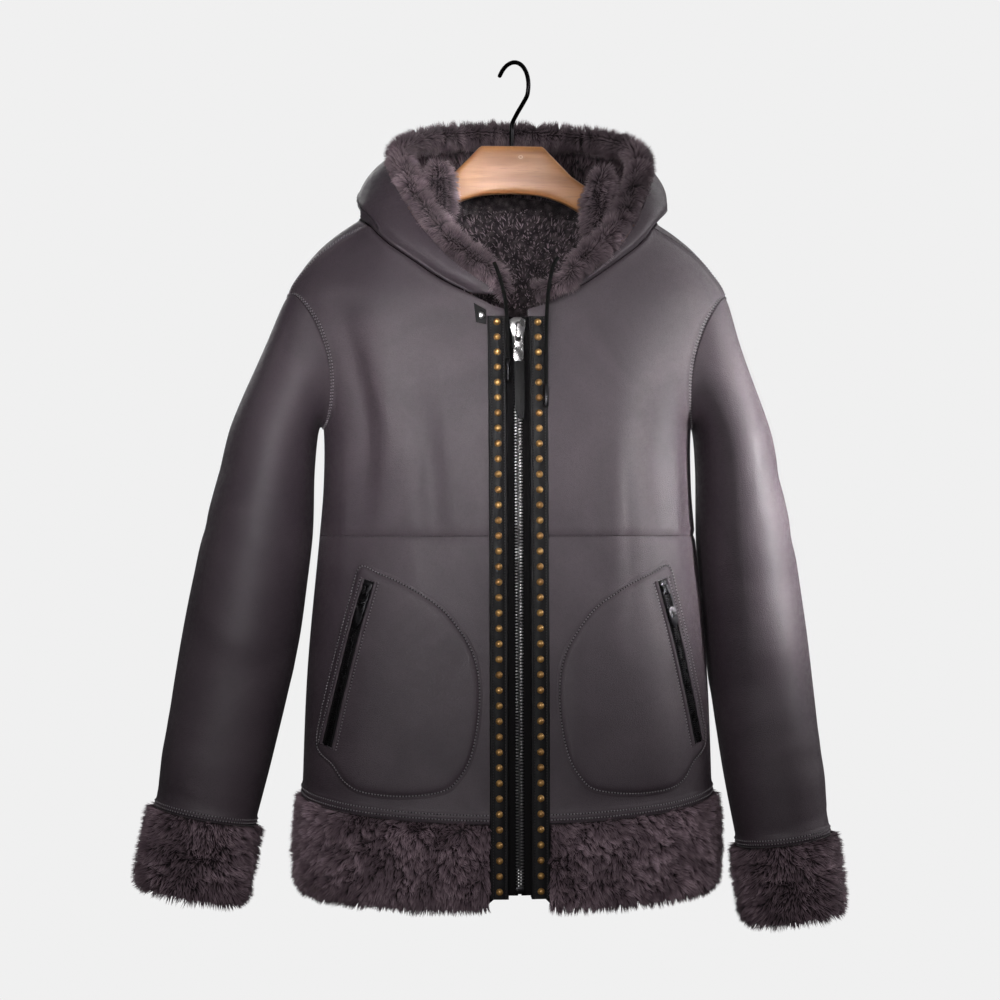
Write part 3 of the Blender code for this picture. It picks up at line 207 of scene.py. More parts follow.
# ---- Shape of the jacket -------------------------------------------------------------------------
def read(rows, key):
    """A table's other columns at `key`, its first column, joined smoothly between the rows."""
    table = np.asarray(rows, float)
    keys, values = table[:, 0], table[:, 1:]
    key = np.clip(np.asarray(key, float), keys[0], keys[-1])
    high = np.clip(np.searchsorted(keys, key, side="right"), 1, len(keys) - 1)
    low = high - 1
    span = keys[high] - keys[low]
    t = ((key - keys[low]) / span)[..., None]
    span = span[..., None]
    index = np.arange(len(keys))
    before, after = np.maximum(index - 1, 0), np.minimum(index + 1, len(keys) - 1)
    slope = (values[after] - values[before]) / (keys[after] - keys[before])[:, None]
    return (
        values[low] * (2 * t**3 - 3 * t**2 + 1) + values[high] * (3 * t**2 - 2 * t**3)
        + slope[low] * span * (t**3 - 2 * t**2 + t) + slope[high] * span * (t**3 - t**2)
    )


def power(value, exponent):
    return np.sign(value) * np.abs(value) ** exponent


def smooth(t):
    t = np.clip(t, 0.0, 1.0)
    return t * t * (3 - 2 * t)


def unit(vectors):
    return vectors / np.maximum(np.linalg.norm(vectors, axis=-1, keepdims=True), 1e-9)


def mirrored(points):
    return points * np.array([-1.0, 1.0, 1.0])


def normal_of(surface, u, v, du, dv):
    across = surface(u + du, v) - surface(u - du, v)
    along = surface(u, v + dv) - surface(u, v - dv)
    return unit(np.cross(across, along))


def body_base(angle, level):
    """Points on the body's leather before its folds; angle in degrees from the front centre, + to +X."""
    angle, level = np.broadcast_arrays(np.asarray(angle, float), np.asarray(level, float))
    half_width, front, back = np.moveaxis(read(BODY, level), -1, 0)
    drop = read(DROP, level)[..., 0]
    s, c = np.sin(np.radians(angle)), np.cos(np.radians(angle))
    depth = np.where(c > 0, front, back)
    x, y = half_width * power(s, 2 / FULLNESS), -depth * power(c, 2 / FULLNESS)
    return np.stack([x, y, level - drop * ((1 + c) / 2) ** 2], -1)


def fold_height(angle, level, rows):
    total = 0.0
    for centre, middle, width, length, height, lean in rows:
        away = (angle - centre - lean * (level - middle) + 180) % 360 - 180
        total = total + height * np.exp(-((away / width) ** 2) - ((level - middle) / length) ** 2)
    return total


def body(angle, level, out=0.0, rows=FOLDS):
    normal = body_normal(angle, level)
    height = np.asarray(fold_height(angle, level, rows) + out)
    return body_base(angle, level) + normal * height[..., None]


def body_normal(angle, level):
    return normal_of(body_base, np.asarray(angle, float), np.asarray(level, float), 0.5, 0.001)


def creased(angle, level, out=0.0):
    """Points on the body's leather with the large folds and the small creases."""
    return body(angle, level, out, FOLDS + CREASES)


def angle_at(x, level):
    share = np.minimum(np.abs(x) / read(BODY, level)[..., 0], 1.0)
    return np.sign(x) * np.degrees(np.arcsin(share ** (FULLNESS / 2)))


def on_front(x, level, out):
    return body(angle_at(x, level), level, out)


def armhole_angle(level, side):
    share = np.clip((level - UNDERARM) / (TIP - UNDERARM), 0.0, 1.0)
    bow = np.sqrt(np.maximum(0.0, 1 - (2 * share - 1) ** 2))
    return 90 + (ARMHOLE_TIP - 90) * share**2 - side * ARMHOLE_SPREAD * bow


def front_outer_edge(level):
    seam = read(SHOULDER_SEAM, level)[..., 0]
    return np.where(level <= UNDERARM, 90, np.where(level <= TIP, armhole_angle(level, 1), seam))


def back_outer_edge(level):
    seam = np.where(level <= NECK_SIDE, read(SHOULDER_SEAM, level)[..., 0], read(NECKLINE, level)[..., 0])
    return np.where(level <= UNDERARM, 90, np.where(level <= TIP, armhole_angle(level, -1), seam))


def front_inner_edge(level):
    return np.where(level <= NECK_FRONT, angle_at(OPENING, level), read(NECKLINE, level)[..., 0])


def neck_point(way, out=0.0):
    """Neckline at `way` round from the front, 0 to 1, read between its own points."""
    place = np.minimum(np.asarray(way, float), 1.0) * NECK_COUNT
    index = np.minimum(place.astype(int), NECK_COUNT - 1)
    rows = np.array(NECKLINE + [(NECKLINE[-1][0], 180)], float)
    points = body(rows[:, 1], rows[:, 0], out)
    share = (place - index)[..., None]
    return points[index] * (1 - share) + points[index + 1] * share


def hood_half(way, height):
    x, y, z, bulge, sag = np.moveaxis(read(HOOD, way), -1, 0)
    keyed = [(i, row[1]) for i, row in enumerate([*NECKLINE, (0, 180)])]
    angle = np.radians(read(keyed, np.minimum(way, 1.0) * NECK_COUNT)[..., 0])
    outward = np.stack([np.sin(angle), -np.cos(angle), np.zeros_like(angle)], -1)
    raised = np.maximum(height, 1e-6)
    swell = np.sin(np.pi * raised**HOOD_SWELL)
    droop = np.sin(np.pi * raised**HOOD_DROOP) ** 2
    share = height[..., None]
    point = neck_point(way) * (1 - share) + np.stack([x, y, z], -1) * share
    point = point + outward * (bulge * swell)[..., None]
    point[..., 2] -= sag * droop
    return point


def hood(way, height):
    """Points on the hood's leather: way 0 to 2 round from the left front to the right front."""
    way, height = np.broadcast_arrays(np.asarray(way, float), np.asarray(height, float))
    half = np.minimum(way, 2 - way)
    point = hood_half(half, height)
    point = np.where((way <= 1)[..., None], point, mirrored(point))
    point[..., 0] += HOOD_LEAN * height * smooth(half * 6)
    point[..., 2] += HOOD_LIFT
    return point


def hood_normal(way, height):
    way, height = np.broadcast_arrays(np.asarray(way, float), np.asarray(height, float))
    return normal_of(hood, np.clip(way, 0.02, 1.98), np.clip(height, 0.03, 0.97), 0.01, 0.02)


def neck_normal(way):
    half = np.minimum(way, 2 - way)
    out = unit(neck_point(half) - neck_point(half, -WALL))
    return np.where((way <= 1)[..., None], out, mirrored(out))


def hood_inward(way, height):
    """Direction from the leather to the wool side of the hood's wall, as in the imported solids."""
    way, height = np.broadcast_arrays(np.asarray(way, float), np.asarray(height, float))
    foot = unit(neck_normal(way) + hood_normal(way, 0 * height))
    even = foot + (hood_normal(way, 0 * height + 1) - foot) * height[..., None]
    close = foot + (hood_normal(way, height) - foot) * smooth(height / HOOD_TURN_HEIGHT)[..., None]
    local = smooth((np.minimum(way, 2 - way) - HOOD_SIDE_WAY) / HOOD_SIDE_BLEND)[..., None]
    return -unit(even * (1 - local) + close * local)


def hood_seam(height):
    foot = HOOD_SEAM_FOOT / NECK_COUNT
    return foot + (HOOD_SEAM_TOP - foot) * smooth(height)


def ring_point(side, way, turn, grow=0.0):
    """Points of a plain sleeve section; turn in radians, from the inner side over the front."""
    out, level, half_width, half_depth, tilt = np.moveaxis(read(SLEEVE[side], way), -1, 0)
    lean = np.radians(tilt)
    across = np.stack([np.cos(lean), np.zeros_like(lean), np.sin(lean)], -1)
    centre = np.stack([out, np.full_like(out, SLEEVE_SET_BACK), level], -1)
    ahead = np.array([0.0, -1.0, 0.0])
    wide, deep = (half_width + grow) * np.sin(turn), (half_depth + grow) * np.cos(turn)
    return centre + across * wide[..., None] + ahead * deep[..., None]


def ring_outward(side, way, turn):
    return unit(ring_point(side, way, turn, 0.01 + 0 * turn) - ring_point(side, way, turn, 0 * turn))


def sleeve_height(way, turn, rows):
    total = 0.0
    for middle, centre, reach, round_reach, height in rows:
        away = (np.degrees(turn) - centre + 180) % 360 - 180
        total = total + height * np.exp(-(((way - middle) / reach) ** 2) - (away / round_reach) ** 2)
    return total


def armhole_point(share, out=0.0):
    """Points just inside the armhole's seam; share runs up the front from 0 to 1 and down the back to 2."""
    in_front = share <= 1
    rise = (1 - np.cos(np.pi * np.where(in_front, share, 2 - share))) / 2
    level = UNDERARM + (TIP - UNDERARM) * rise
    up_front = armhole_angle(level, 1) + ARMHOLE_INSET
    down_back = armhole_angle(level, -1) - ARMHOLE_INSET
    angle = np.where(in_front, up_front, down_back)
    inset = ARMHOLE_SPACE * 2 * (level - (UNDERARM + TIP) / 2) / (TIP - UNDERARM)
    return body(angle, level - inset, out)


# ---- Meshes --------------------------------------------------------------------------------------
def add_to_scene(name, data):
    obj = bpy.data.objects.new(name, data)
    bpy.context.scene.collection.objects.link(obj)
    return obj


def add_object(name, vertices, faces, materials, slots=None):
    """A named mesh object, its faces turned to point out."""
    mesh = bpy.data.meshes.new(name)
    mesh.from_pydata([tuple(p) for p in vertices], [], [tuple(int(i) for i in f) for f in faces])
    for finish in materials:
        mesh.materials.append(finish)
    if slots is not None:
        mesh.polygons.foreach_set("material_index", np.asarray(slots, dtype=np.int32))
    bm = bmesh.new()
    bm.from_mesh(mesh)
    if bm.calc_volume(signed=True) < 0:
        bmesh.ops.reverse_faces(bm, faces=bm.faces)
    bm.to_mesh(mesh)
    bm.free()
    mesh.shade_smooth()
    mesh.set_sharp_from_angle(angle=math.radians(50))
    return add_to_scene(name, mesh)


def grid_faces(rows, columns, start=0, wraps=False):
    i = np.arange(rows - 1)[:, None]
    j = np.arange(columns if wraps else columns - 1)[None, :]
    k = (j + 1) % columns
    quads = np.stack(np.broadcast_arrays(i * columns + j, i * columns + k, (i + 1) * columns + k,
                                         (i + 1) * columns + j), -1)
    return quads.reshape(-1, 4) + start


def add_wall(name, outer, inner, finish, lining, tube=False):
    """A closed wall between two grids of points: leather outside, wool side and cut edges inside."""
    rows, columns = outer.shape[:2]
    points = np.concatenate([outer.reshape(-1, 3), inner.reshape(-1, 3)])
    points[:, 0] += JACKET_SHIFT
    shift = rows * columns
    front = grid_faces(rows, columns, 0, tube)
    back = grid_faces(rows, columns, shift, tube)[:, ::-1]
    j = np.arange(columns if tube else columns - 1)
    k = (j + 1) % columns
    last = (rows - 1) * columns
    rim = [np.stack([j, j + shift, k + shift, k], -1)]
    rim.append(np.stack([j + last, k + last, k + last + shift, j + last + shift], -1))
    if not tube:
        i = np.arange(rows - 1) * columns
        n = i + columns
        right = columns - 1
        rim.append(np.stack([i, n, n + shift, i + shift], -1))
        rim.append(np.stack([i + right, i + right + shift, n + right + shift, n + right], -1))
    rim = np.concatenate(rim)
    faces = np.concatenate([front, back, rim])
    slots = np.concatenate([np.zeros(len(front)), np.ones(len(back) + len(rim))])
    return add_object(name, points, faces, [finish, lining], slots)


def add_tube(name, rings, finish):
    """A closed tube through rings of points, an array of stations by ring by 3, with capped ends."""
    stations, count = rings.shape[:2]
    points = rings.reshape(-1, 3).copy()
    points[:, 0] += JACKET_SHIFT
    faces = [tuple(f) for f in grid_faces(stations, count, 0, True)]
    first, last = list(range(count)), list(range((stations - 1) * count, stations * count))
    return add_object(name, points, [*faces, first[::-1], last], [finish])


def add_scalp(grid, outward, wraps=False):
    """An open surface that wool grows from; `outward` gives a direction for each of its points."""
    rows, columns = grid.shape[:2]
    faces = grid_faces(rows, columns, 0, wraps)
    points = grid.reshape(-1, 3).copy()
    points[:, 0] += JACKET_SHIFT
    votes = 0.0
    ways = np.broadcast_to(outward, grid.shape).reshape(-1, 3)
    for face in faces[:: max(1, len(faces) // 200)]:
        a, b, c = points[face[0]], points[face[1]], points[face[3]]
        votes += float(np.dot(np.cross(b - a, c - a), ways[face[0]]))
    if votes < 0:
        faces = faces[:, ::-1]
    mesh = bpy.data.meshes.new("scalp")
    mesh.from_pydata([tuple(p) for p in points], [], [tuple(int(i) for i in f) for f in faces])
    return add_to_scene("scalp", mesh)


def keep(piece, slot, *nodes, body_name="jacket"):
    """Let a piece ride on its body and stand for CAD nodes, which it hides; the slot is not used."""
    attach(piece, body_name)
    if nodes:
        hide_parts(*nodes)
    return piece


# ---- Node helpers --------------------------------------------------------------------------------
def pin(sockets, key):
    """A socket by its place or by its name, the one in use where several share a name."""
    if isinstance(key, int):
        return sockets[key]
    return next(s for s in sockets if s.name == key and s.enabled)


def put(tree, kind, inputs=None, **settings):
    """Add a node; its inputs are given by name or place, each a value or another node's output."""
    made = tree.nodes.new(kind)
    for name, value in settings.items():
        setattr(made, name, value)
    for key, value in (inputs or {}).items():
        socket = pin(made.inputs, key)
        if isinstance(value, bpy.types.NodeSocket):
            tree.links.new(value, socket)
        elif value is not None:
            socket.default_value = value
    return made


def calc(tree, operation, a, b=None, c=None):
    inputs = {i: v for i, v in enumerate((a, b, c)) if v is not None}
    return put(tree, "ShaderNodeMath", inputs, operation=operation).outputs[0]


def vector_calc(tree, operation, a, b=None):
    made = put(tree, "ShaderNodeVectorMath", {0: a, 1: b} if b is not None else {0: a}, operation=operation)
    return made.outputs[1] if operation in ("LENGTH", "DOT_PRODUCT", "DISTANCE") else made.outputs[0]


def times(tree, a, b):
    return calc(tree, "MULTIPLY", a, b)


def plus(tree, a, b):
    return calc(tree, "ADD", a, b)


def vector_plus(tree, a, b):
    return vector_calc(tree, "ADD", a, b)


def noise(tree, vector, scale, detail=2.0, **more):
    return put(tree, "ShaderNodeTexNoise", {"Vector": vector, "Scale": scale, "Detail": detail, **more})


def attribute(tree, name, output="Fac"):
    return put(tree, "ShaderNodeAttribute", attribute_name=name).outputs[output]


def mark(tree, geometry, name, value, kind="FLOAT"):
    """Store a value under a name on every point of some geometry."""
    inputs = {"Geometry": geometry, "Name": name, "Value": value}
    return put(tree, "GeometryNodeStoreNamedAttribute", inputs, data_type=kind, domain="POINT").outputs[0]


def make_real(tree, result, placed, finish):
    """End a node tree: turn its instances into a mesh of one material."""
    real = put(tree, "GeometryNodeRealizeInstances", {"Geometry": placed.outputs[0]})
    done = put(tree, "GeometryNodeSetMaterial", {"Geometry": real.outputs[0], "Material": finish})
    tree.links.new(done.outputs[0], result.inputs[0])


def scaled(tree, vector, factor):
    made = put(tree, "ShaderNodeVectorMath", {0: vector}, operation="SCALE")
    if isinstance(factor, bpy.types.NodeSocket):
        tree.links.new(factor, made.inputs["Scale"])
    else:
        made.inputs["Scale"].default_value = factor
    return made.outputs[0]


def ramp(tree, value, low, high, to_low=0.0, to_high=1.0):
    """Map a value from one range to another, softly and held at the ends."""
    made = put(tree, "ShaderNodeMapRange", {0: value, 1: low, 2: high, 3: to_low, 4: to_high})
    made.interpolation_type = "SMOOTHSTEP"
    return made.outputs[0]


def blend_colour(tree, factor, a, b, mode="MIX"):
    made = put(tree, "ShaderNodeMix", data_type="RGBA", blend_type=mode)
    for key, value in ((0, factor), (6, a), (7, b)):
        if isinstance(value, bpy.types.NodeSocket):
            tree.links.new(value, made.inputs[key])
        else:
            made.inputs[key].default_value = value if key == 0 else (*value, 1.0)
    return made.outputs[2]


def new_group(name, kind, inputs, outputs):
    """A node group with named sockets; inputs are (name, type, default)."""
    tree = bpy.data.node_groups.new(name, kind)
    for label, socket, default in inputs:
        made = tree.interface.new_socket(name=label, in_out="INPUT", socket_type=socket)
        if default is not None:
            made.default_value = default
    for label, socket in outputs:
        tree.interface.new_socket(name=label, in_out="OUTPUT", socket_type=socket)
    return tree, tree.nodes.new("NodeGroupInput"), tree.nodes.new("NodeGroupOutput")


# ---- Shared shader groups ------------------------------------------------------------------------
def make_hide_grain():
    """Fine pebble of smooth leather: cells with soft valleys, broken up by noise."""
    tree, given, result = new_group(
        "hide_grain", "ShaderNodeTree",
        [("Vector", "NodeSocketVector", None), ("Cells per metre", "NodeSocketFloat", 900.0)],
        [("Height", "NodeSocketFloat"), ("Pores", "NodeSocketFloat")],
    )
    vector, size = given.outputs["Vector"], given.outputs["Cells per metre"]
    warp = noise(tree, vector, 220.0, 2.0)
    bent = vector_plus(tree, vector, scaled(tree, warp.outputs["Color"], 0.0012))
    cells = put(tree, "ShaderNodeTexVoronoi", {"Vector": bent, "Scale": size}, feature="DISTANCE_TO_EDGE")
    valley = ramp(tree, cells.outputs["Distance"], 0.0, 0.22)
    fine = noise(tree, vector, 1500.0, 3.0)
    total = plus(tree, times(tree, valley, 0.65), times(tree, fine.outputs[0], 0.5))
    tree.links.new(total, result.inputs["Height"])
    tree.links.new(valley, result.inputs["Pores"])
    return tree


def make_cloudy_tone():
    """Slow patches of lighter and darker tone, and fine mottling."""
    tree, given, result = new_group(
        "cloudy_tone", "ShaderNodeTree",
        [("Vector", "NodeSocketVector", None), ("Patch scale", "NodeSocketFloat", 9.0),
         ("Mottle scale", "NodeSocketFloat", 160.0)],
        [("Patches", "NodeSocketFloat"), ("Mottle", "NodeSocketFloat")],
    )
    vector = given.outputs["Vector"]
    patches = noise(tree, vector, given.outputs["Patch scale"], 3.0, Distortion=0.6)
    mottle = noise(tree, vector, given.outputs["Mottle scale"], 4.0, Roughness=0.65)
    tree.links.new(ramp(tree, patches.outputs[0], 0.3, 0.7), result.inputs["Patches"])
    tree.links.new(ramp(tree, mottle.outputs[0], 0.35, 0.65), result.inputs["Mottle"])
    return tree


def make_hairlines():
    """Fine scratches and smudges of handled metal and varnish."""
    tree, given, result = new_group(
        "hairlines", "ShaderNodeTree",
        [("Vector", "NodeSocketVector", None), ("Fineness", "NodeSocketFloat", 400.0)],
        [("Scratches", "NodeSocketFloat"), ("Smudges", "NodeSocketFloat")],
    )
    vector = given.outputs["Vector"]
    squeezed = put(tree, "ShaderNodeMapping", {"Vector": vector, "Scale": (1.0, 1.0, 0.06)})
    lines = noise(tree, squeezed.outputs[0], given.outputs["Fineness"], 4.0)
    smudges = noise(tree, vector, 90.0, 3.0)
    tree.links.new(ramp(tree, lines.outputs[0], 0.4, 0.7), result.inputs["Scratches"])
    tree.links.new(ramp(tree, smudges.outputs[0], 0.35, 0.7), result.inputs["Smudges"])
    return tree


HIDE_GRAIN = make_hide_grain()
CLOUDY_TONE = make_cloudy_tone()
HAIRLINES = make_hairlines()


# ---- Materials -----------------------------------------------------------------------------------
def new_material(name, **constants):
    """A material with one Principled shader, its constants set on the shader's own sockets."""
    finish = bpy.data.materials.new(name)
    finish.use_nodes = True
    shader = finish.node_tree.nodes["Principled BSDF"]
    for key, value in constants.items():
        shader.inputs[key.replace("_", " ")].default_value = value
    return finish, finish.node_tree, shader


def place_of(tree):
    return tree.nodes.new("ShaderNodeTexCoord").outputs["Object"]


def use_group(tree, group, **inputs):
    made = tree.nodes.new("ShaderNodeGroup")
    made.node_tree = group
    for key, value in inputs.items():
        socket = made.inputs[key.replace("_", " ")]
        if isinstance(value, bpy.types.NodeSocket):
            tree.links.new(value, socket)
        else:
            socket.default_value = value
    return made


def bump(tree, shader, height, distance, strength=1.0):
    made = put(tree, "ShaderNodeBump", {"Height": height, "Distance": distance, "Strength": strength})
    tree.links.new(made.outputs[0], shader.inputs["Normal"])


def leather_finish(name, light, dark, rough, grain_size, grain_depth, sheen, gloss):
    """Smooth leather: cloudy tone, pebble grain, satin patches."""
    finish, tree, shader = new_material(
        name, Specular_IOR_Level=gloss, Sheen_Weight=sheen, Sheen_Roughness=0.45,
        Sheen_Tint=(0.80, 0.74, 0.80, 1),
    )
    place = place_of(tree)
    tone = use_group(tree, CLOUDY_TONE, Vector=place, Patch_scale=11.0)
    grain = use_group(tree, HIDE_GRAIN, Vector=place, Cells_per_metre=grain_size)
    colour = blend_colour(tree, tone.outputs["Patches"], dark, light)
    speck = times(tree, calc(tree, "SUBTRACT", 1.0, grain.outputs["Pores"]), 0.35)
    colour = blend_colour(tree, speck, colour, tuple(c * 0.5 for c in dark))
    tree.links.new(colour, shader.inputs["Base Color"])
    roughness = ramp(tree, tone.outputs["Mottle"], 0.0, 1.0, rough - 0.05, rough + 0.07)
    tree.links.new(roughness, shader.inputs["Roughness"])
    bump(tree, shader, grain.outputs["Height"], grain_depth, 0.55)
    return finish


def wool_side_finish():
    """The wool side of the shearling where no single hairs are made: curly dark pile in bump alone, and
    painted shade that darkens its colour in the hollows between the curls.
    """
    finish, tree, shader = new_material(
        "wool_side", Roughness=0.95, Specular_IOR_Level=0.2, Sheen_Weight=0.25,
    )
    place = place_of(tree)
    curls = put(tree, "ShaderNodeTexVoronoi", {"Vector": place, "Scale": 170.0}, feature="SMOOTH_F1")
    hairs = noise(tree, place, 700.0, 4.0, Distortion=1.5)
    height = plus(tree, curls.outputs["Distance"], times(tree, hairs.outputs[0], 0.8))
    # Painted shade: the colour goes near black where the bump sinks between the curls.
    colour = blend_colour(tree, ramp(tree, height, 0.35, 1.1), (0.085, 0.064, 0.072), (0.012, 0.008, 0.010))
    tree.links.new(colour, shader.inputs["Base Color"])
    bump(tree, shader, calc(tree, "SUBTRACT", 1.0, height), 0.003, 0.8)
    return finish


def wool_skin_finish():
    """Near-black underwool that shows between the single hairs: painted shade at the foot of the pile."""
    finish, tree, shader = new_material("wool_skin", Roughness=1.0, Specular_IOR_Level=0.1)
    fluff = noise(tree, place_of(tree), 650.0, 4.0)
    share = ramp(tree, fluff.outputs[0], 0.35, 0.7)
    # Painted shade: both colours are near black; the noise only mottles them.
    colour = blend_colour(tree, share, (0.010, 0.007, 0.009), (0.040, 0.030, 0.034))
    tree.links.new(colour, shader.inputs["Base Color"])
    return finish


def wool_finish(name, root, middle, tip):
    """Single hairs: roots darkened by painted shade deep in the pile, paler tips, each hair and each tuft in
    its own tone, and painted shade near the pits.
    """
    finish, tree, shader = new_material(
        name, Roughness=0.72, Specular_IOR_Level=0.25, Sheen_Weight=0.35, Sheen_Roughness=0.5,
        Sheen_Tint=(0.85, 0.72, 0.76, 1),
    )
    along = attribute(tree, "along")
    tone = attribute(tree, "tone")
    skin = attribute(tree, "skin_normal", "Vector")
    # Painted shade: the lower part of each hair runs down to the near-black root colour.
    colour = blend_colour(tree, ramp(tree, along, 0.0, 0.62), root, middle)
    colour = blend_colour(tree, times(tree, ramp(tree, along, 0.45, 1.0), tone), colour, tip)
    # The tone scales the whole hair: its own random tone, and near the pits painted shade.
    shade = ramp(tree, tone, 0.0, 1.0, 0.60, 1.35)
    shade_colour = put(tree, "ShaderNodeCombineColor", {0: shade, 1: shade, 2: shade}).outputs[0]
    colour = blend_colour(tree, 1.0, colour, shade_colour, "MULTIPLY")
    tree.links.new(colour, shader.inputs["Base Color"])
    own = tree.nodes.new("ShaderNodeNewGeometry").outputs["Normal"]
    soft = vector_calc(tree, "NORMALIZE", vector_plus(tree, scaled(tree, skin, 1.2), own))
    tree.links.new(soft, shader.inputs["Normal"])
    return finish


def woven_finish(name, light, dark, scale):
    """Woven tape or thread: crossing ribs."""
    finish, tree, shader = new_material(name, Roughness=0.85, Specular_IOR_Level=0.15, Sheen_Weight=0.05)
    place = place_of(tree)
    ribs = {"Vector": place, "Scale": scale, "Distortion": 0.4}
    up = put(tree, "ShaderNodeTexWave", ribs, bands_direction="Z")
    across = put(tree, "ShaderNodeTexWave", ribs, bands_direction="X")
    weave = times(tree, up.outputs["Fac"], across.outputs["Fac"])
    fuzz = noise(tree, place, 900.0, 2.0)
    factor = times(tree, weave, fuzz.outputs[0])
    tree.links.new(blend_colour(tree, factor, dark, light), shader.inputs["Base Color"])
    bump(tree, shader, weave, 0.0003, 0.8)
    return finish


def thread_finish(name, light, dark):
    """Twisted sewing thread; the needle holes between the stitches have the attribute hole and are painted
    black as their shade.
    """
    finish, tree, shader = new_material(name, Roughness=0.7, Specular_IOR_Level=0.3)
    twist = noise(tree, place_of(tree), 1400.0, 2.0)
    hole = attribute(tree, "hole")
    colour = blend_colour(tree, ramp(tree, twist.outputs[0], 0.35, 0.65), dark, light)
    tree.links.new(blend_colour(tree, hole, colour, (0.003, 0.0025, 0.003)), shader.inputs["Base Color"])
    bump(tree, shader, twist.outputs[0], 0.0001, 0.6)
    return finish


def metal_finish(name, colour, worn, rough, metallic=1.0):
    """Metal with smudges and hairline scratches."""
    finish, tree, shader = new_material(name, Metallic=metallic, Specular_IOR_Level=0.5)
    place = place_of(tree)
    marks = use_group(tree, HAIRLINES, Vector=place)
    tree.links.new(blend_colour(tree, marks.outputs["Smudges"], colour, worn), shader.inputs["Base Color"])
    roughness = ramp(tree, marks.outputs["Smudges"], 0.0, 1.0, rough, rough + 0.18)
    tree.links.new(roughness, shader.inputs["Roughness"])
    bump(tree, shader, marks.outputs["Scratches"], 0.00006, 0.5)
    return finish


def wood_finish():
    """Pale varnished wood: level grain bands, fine pores and one small knot."""
    finish, tree, shader = new_material(
        "hanger_wood", Specular_IOR_Level=0.5, Coat_Weight=0.12, Coat_Roughness=0.25,
    )
    place = place_of(tree)
    marks = use_group(tree, HAIRLINES, Vector=place)
    stretched = put(tree, "ShaderNodeMapping", {"Vector": place, "Scale": (5.0, 30.0, 38.0)})
    bands = noise(tree, stretched.outputs[0], 1.6, 3.0, Distortion=0.9)
    fine = put(tree, "ShaderNodeMapping", {"Vector": place, "Scale": (30.0, 400.0, 420.0)})
    pores = noise(tree, fine.outputs[0], 2.0, 4.0)
    away = put(tree, "ShaderNodeMapping",
               {"Vector": place, "Location": (-0.0085, 0.0, 0.1205), "Scale": (1.0, 0.0, 1.3)})
    knot = vector_calc(tree, "LENGTH", away.outputs[0])
    rings = calc(tree, "SINE", times(tree, knot, 2600.0))
    near = ramp(tree, knot, 0.0045, 0.0015)
    band = ramp(tree, bands.outputs[0], 0.35, 0.68)
    colour = blend_colour(tree, band, (0.47, 0.210, 0.080), (0.34, 0.135, 0.046))
    colour = blend_colour(tree, times(tree, ramp(tree, pores.outputs[0], 0.5, 0.75), 0.35), colour,
                          (0.20, 0.085, 0.035))
    heart = blend_colour(tree, ramp(tree, rings, -1.0, 1.0), (0.62, 0.38, 0.20), (0.34, 0.17, 0.08))
    colour = blend_colour(tree, times(tree, near, 0.8), colour, heart)
    tree.links.new(colour, shader.inputs["Base Color"])
    tree.links.new(ramp(tree, marks.outputs["Smudges"], 0.0, 1.0, 0.32, 0.48), shader.inputs["Roughness"])
    bump(tree, shader, pores.outputs[0], 0.00012, 0.5)
    return finish


LEATHER = leather_finish(
    "jacket_leather", (0.088, 0.067, 0.080), (0.060, 0.044, 0.055),
    rough=0.47, grain_size=750.0, grain_depth=0.00034, sheen=0.02, gloss=0.46,
)
BLACK_LEATHER = leather_finish(
    "strip_leather", (0.009, 0.008, 0.009), (0.005, 0.0045, 0.005),
    rough=0.48, grain_size=1100.0, grain_depth=0.00014, sheen=0.0, gloss=0.20,
)
WOOL_SIDE = wool_side_finish()
WOOL_SKIN = wool_skin_finish()
# The root colours are near black, painted shade deep in the pile; the middle and tip colours are the wool's
# own.
WOOL = wool_finish("band_wool", (0.024, 0.016, 0.019), (0.215, 0.146, 0.176), (0.500, 0.372, 0.418))
HOOD_WOOL = wool_finish("hood_wool", (0.030, 0.021, 0.025), (0.165, 0.118, 0.138), (0.380, 0.295, 0.322))
# Painted light: a lighter copy of the wool, standing in for light in the dim inside of the neck.
NECK_WOOL_LIT = wool_finish("neck_wool", (0.060, 0.045, 0.052), (0.270, 0.200, 0.230), (0.480, 0.385, 0.420))
TAPE = woven_finish("zip_tape_weave", (0.014, 0.012, 0.014), (0.004, 0.0035, 0.004), 420.0)
CORD = woven_finish("drawcord_braid", (0.016, 0.014, 0.015), (0.004, 0.004, 0.004), 330.0)
THREAD = thread_finish("seam_thread", (0.290, 0.262, 0.282), (0.185, 0.165, 0.180))
BLACK_THREAD = thread_finish("strip_thread", (0.050, 0.044, 0.049), (0.024, 0.021, 0.024))
ZIP_METAL = metal_finish("zip_silver", (0.42, 0.405, 0.41), (0.25, 0.24, 0.245), 0.26)
TEETH_METAL = metal_finish("zip_teeth_grey", (0.20, 0.195, 0.20), (0.10, 0.095, 0.10), 0.30)
DARK_METAL = metal_finish("gunmetal", (0.050, 0.048, 0.052), (0.022, 0.021, 0.023), 0.24)
BRASS = metal_finish("stud_brass", (0.58, 0.33, 0.11), (0.34, 0.17, 0.055), 0.30, 0.45)
WIRE = metal_finish("hook_wire", (0.022, 0.021, 0.023), (0.012, 0.011, 0.012), 0.22)
WOOD = wood_finish()


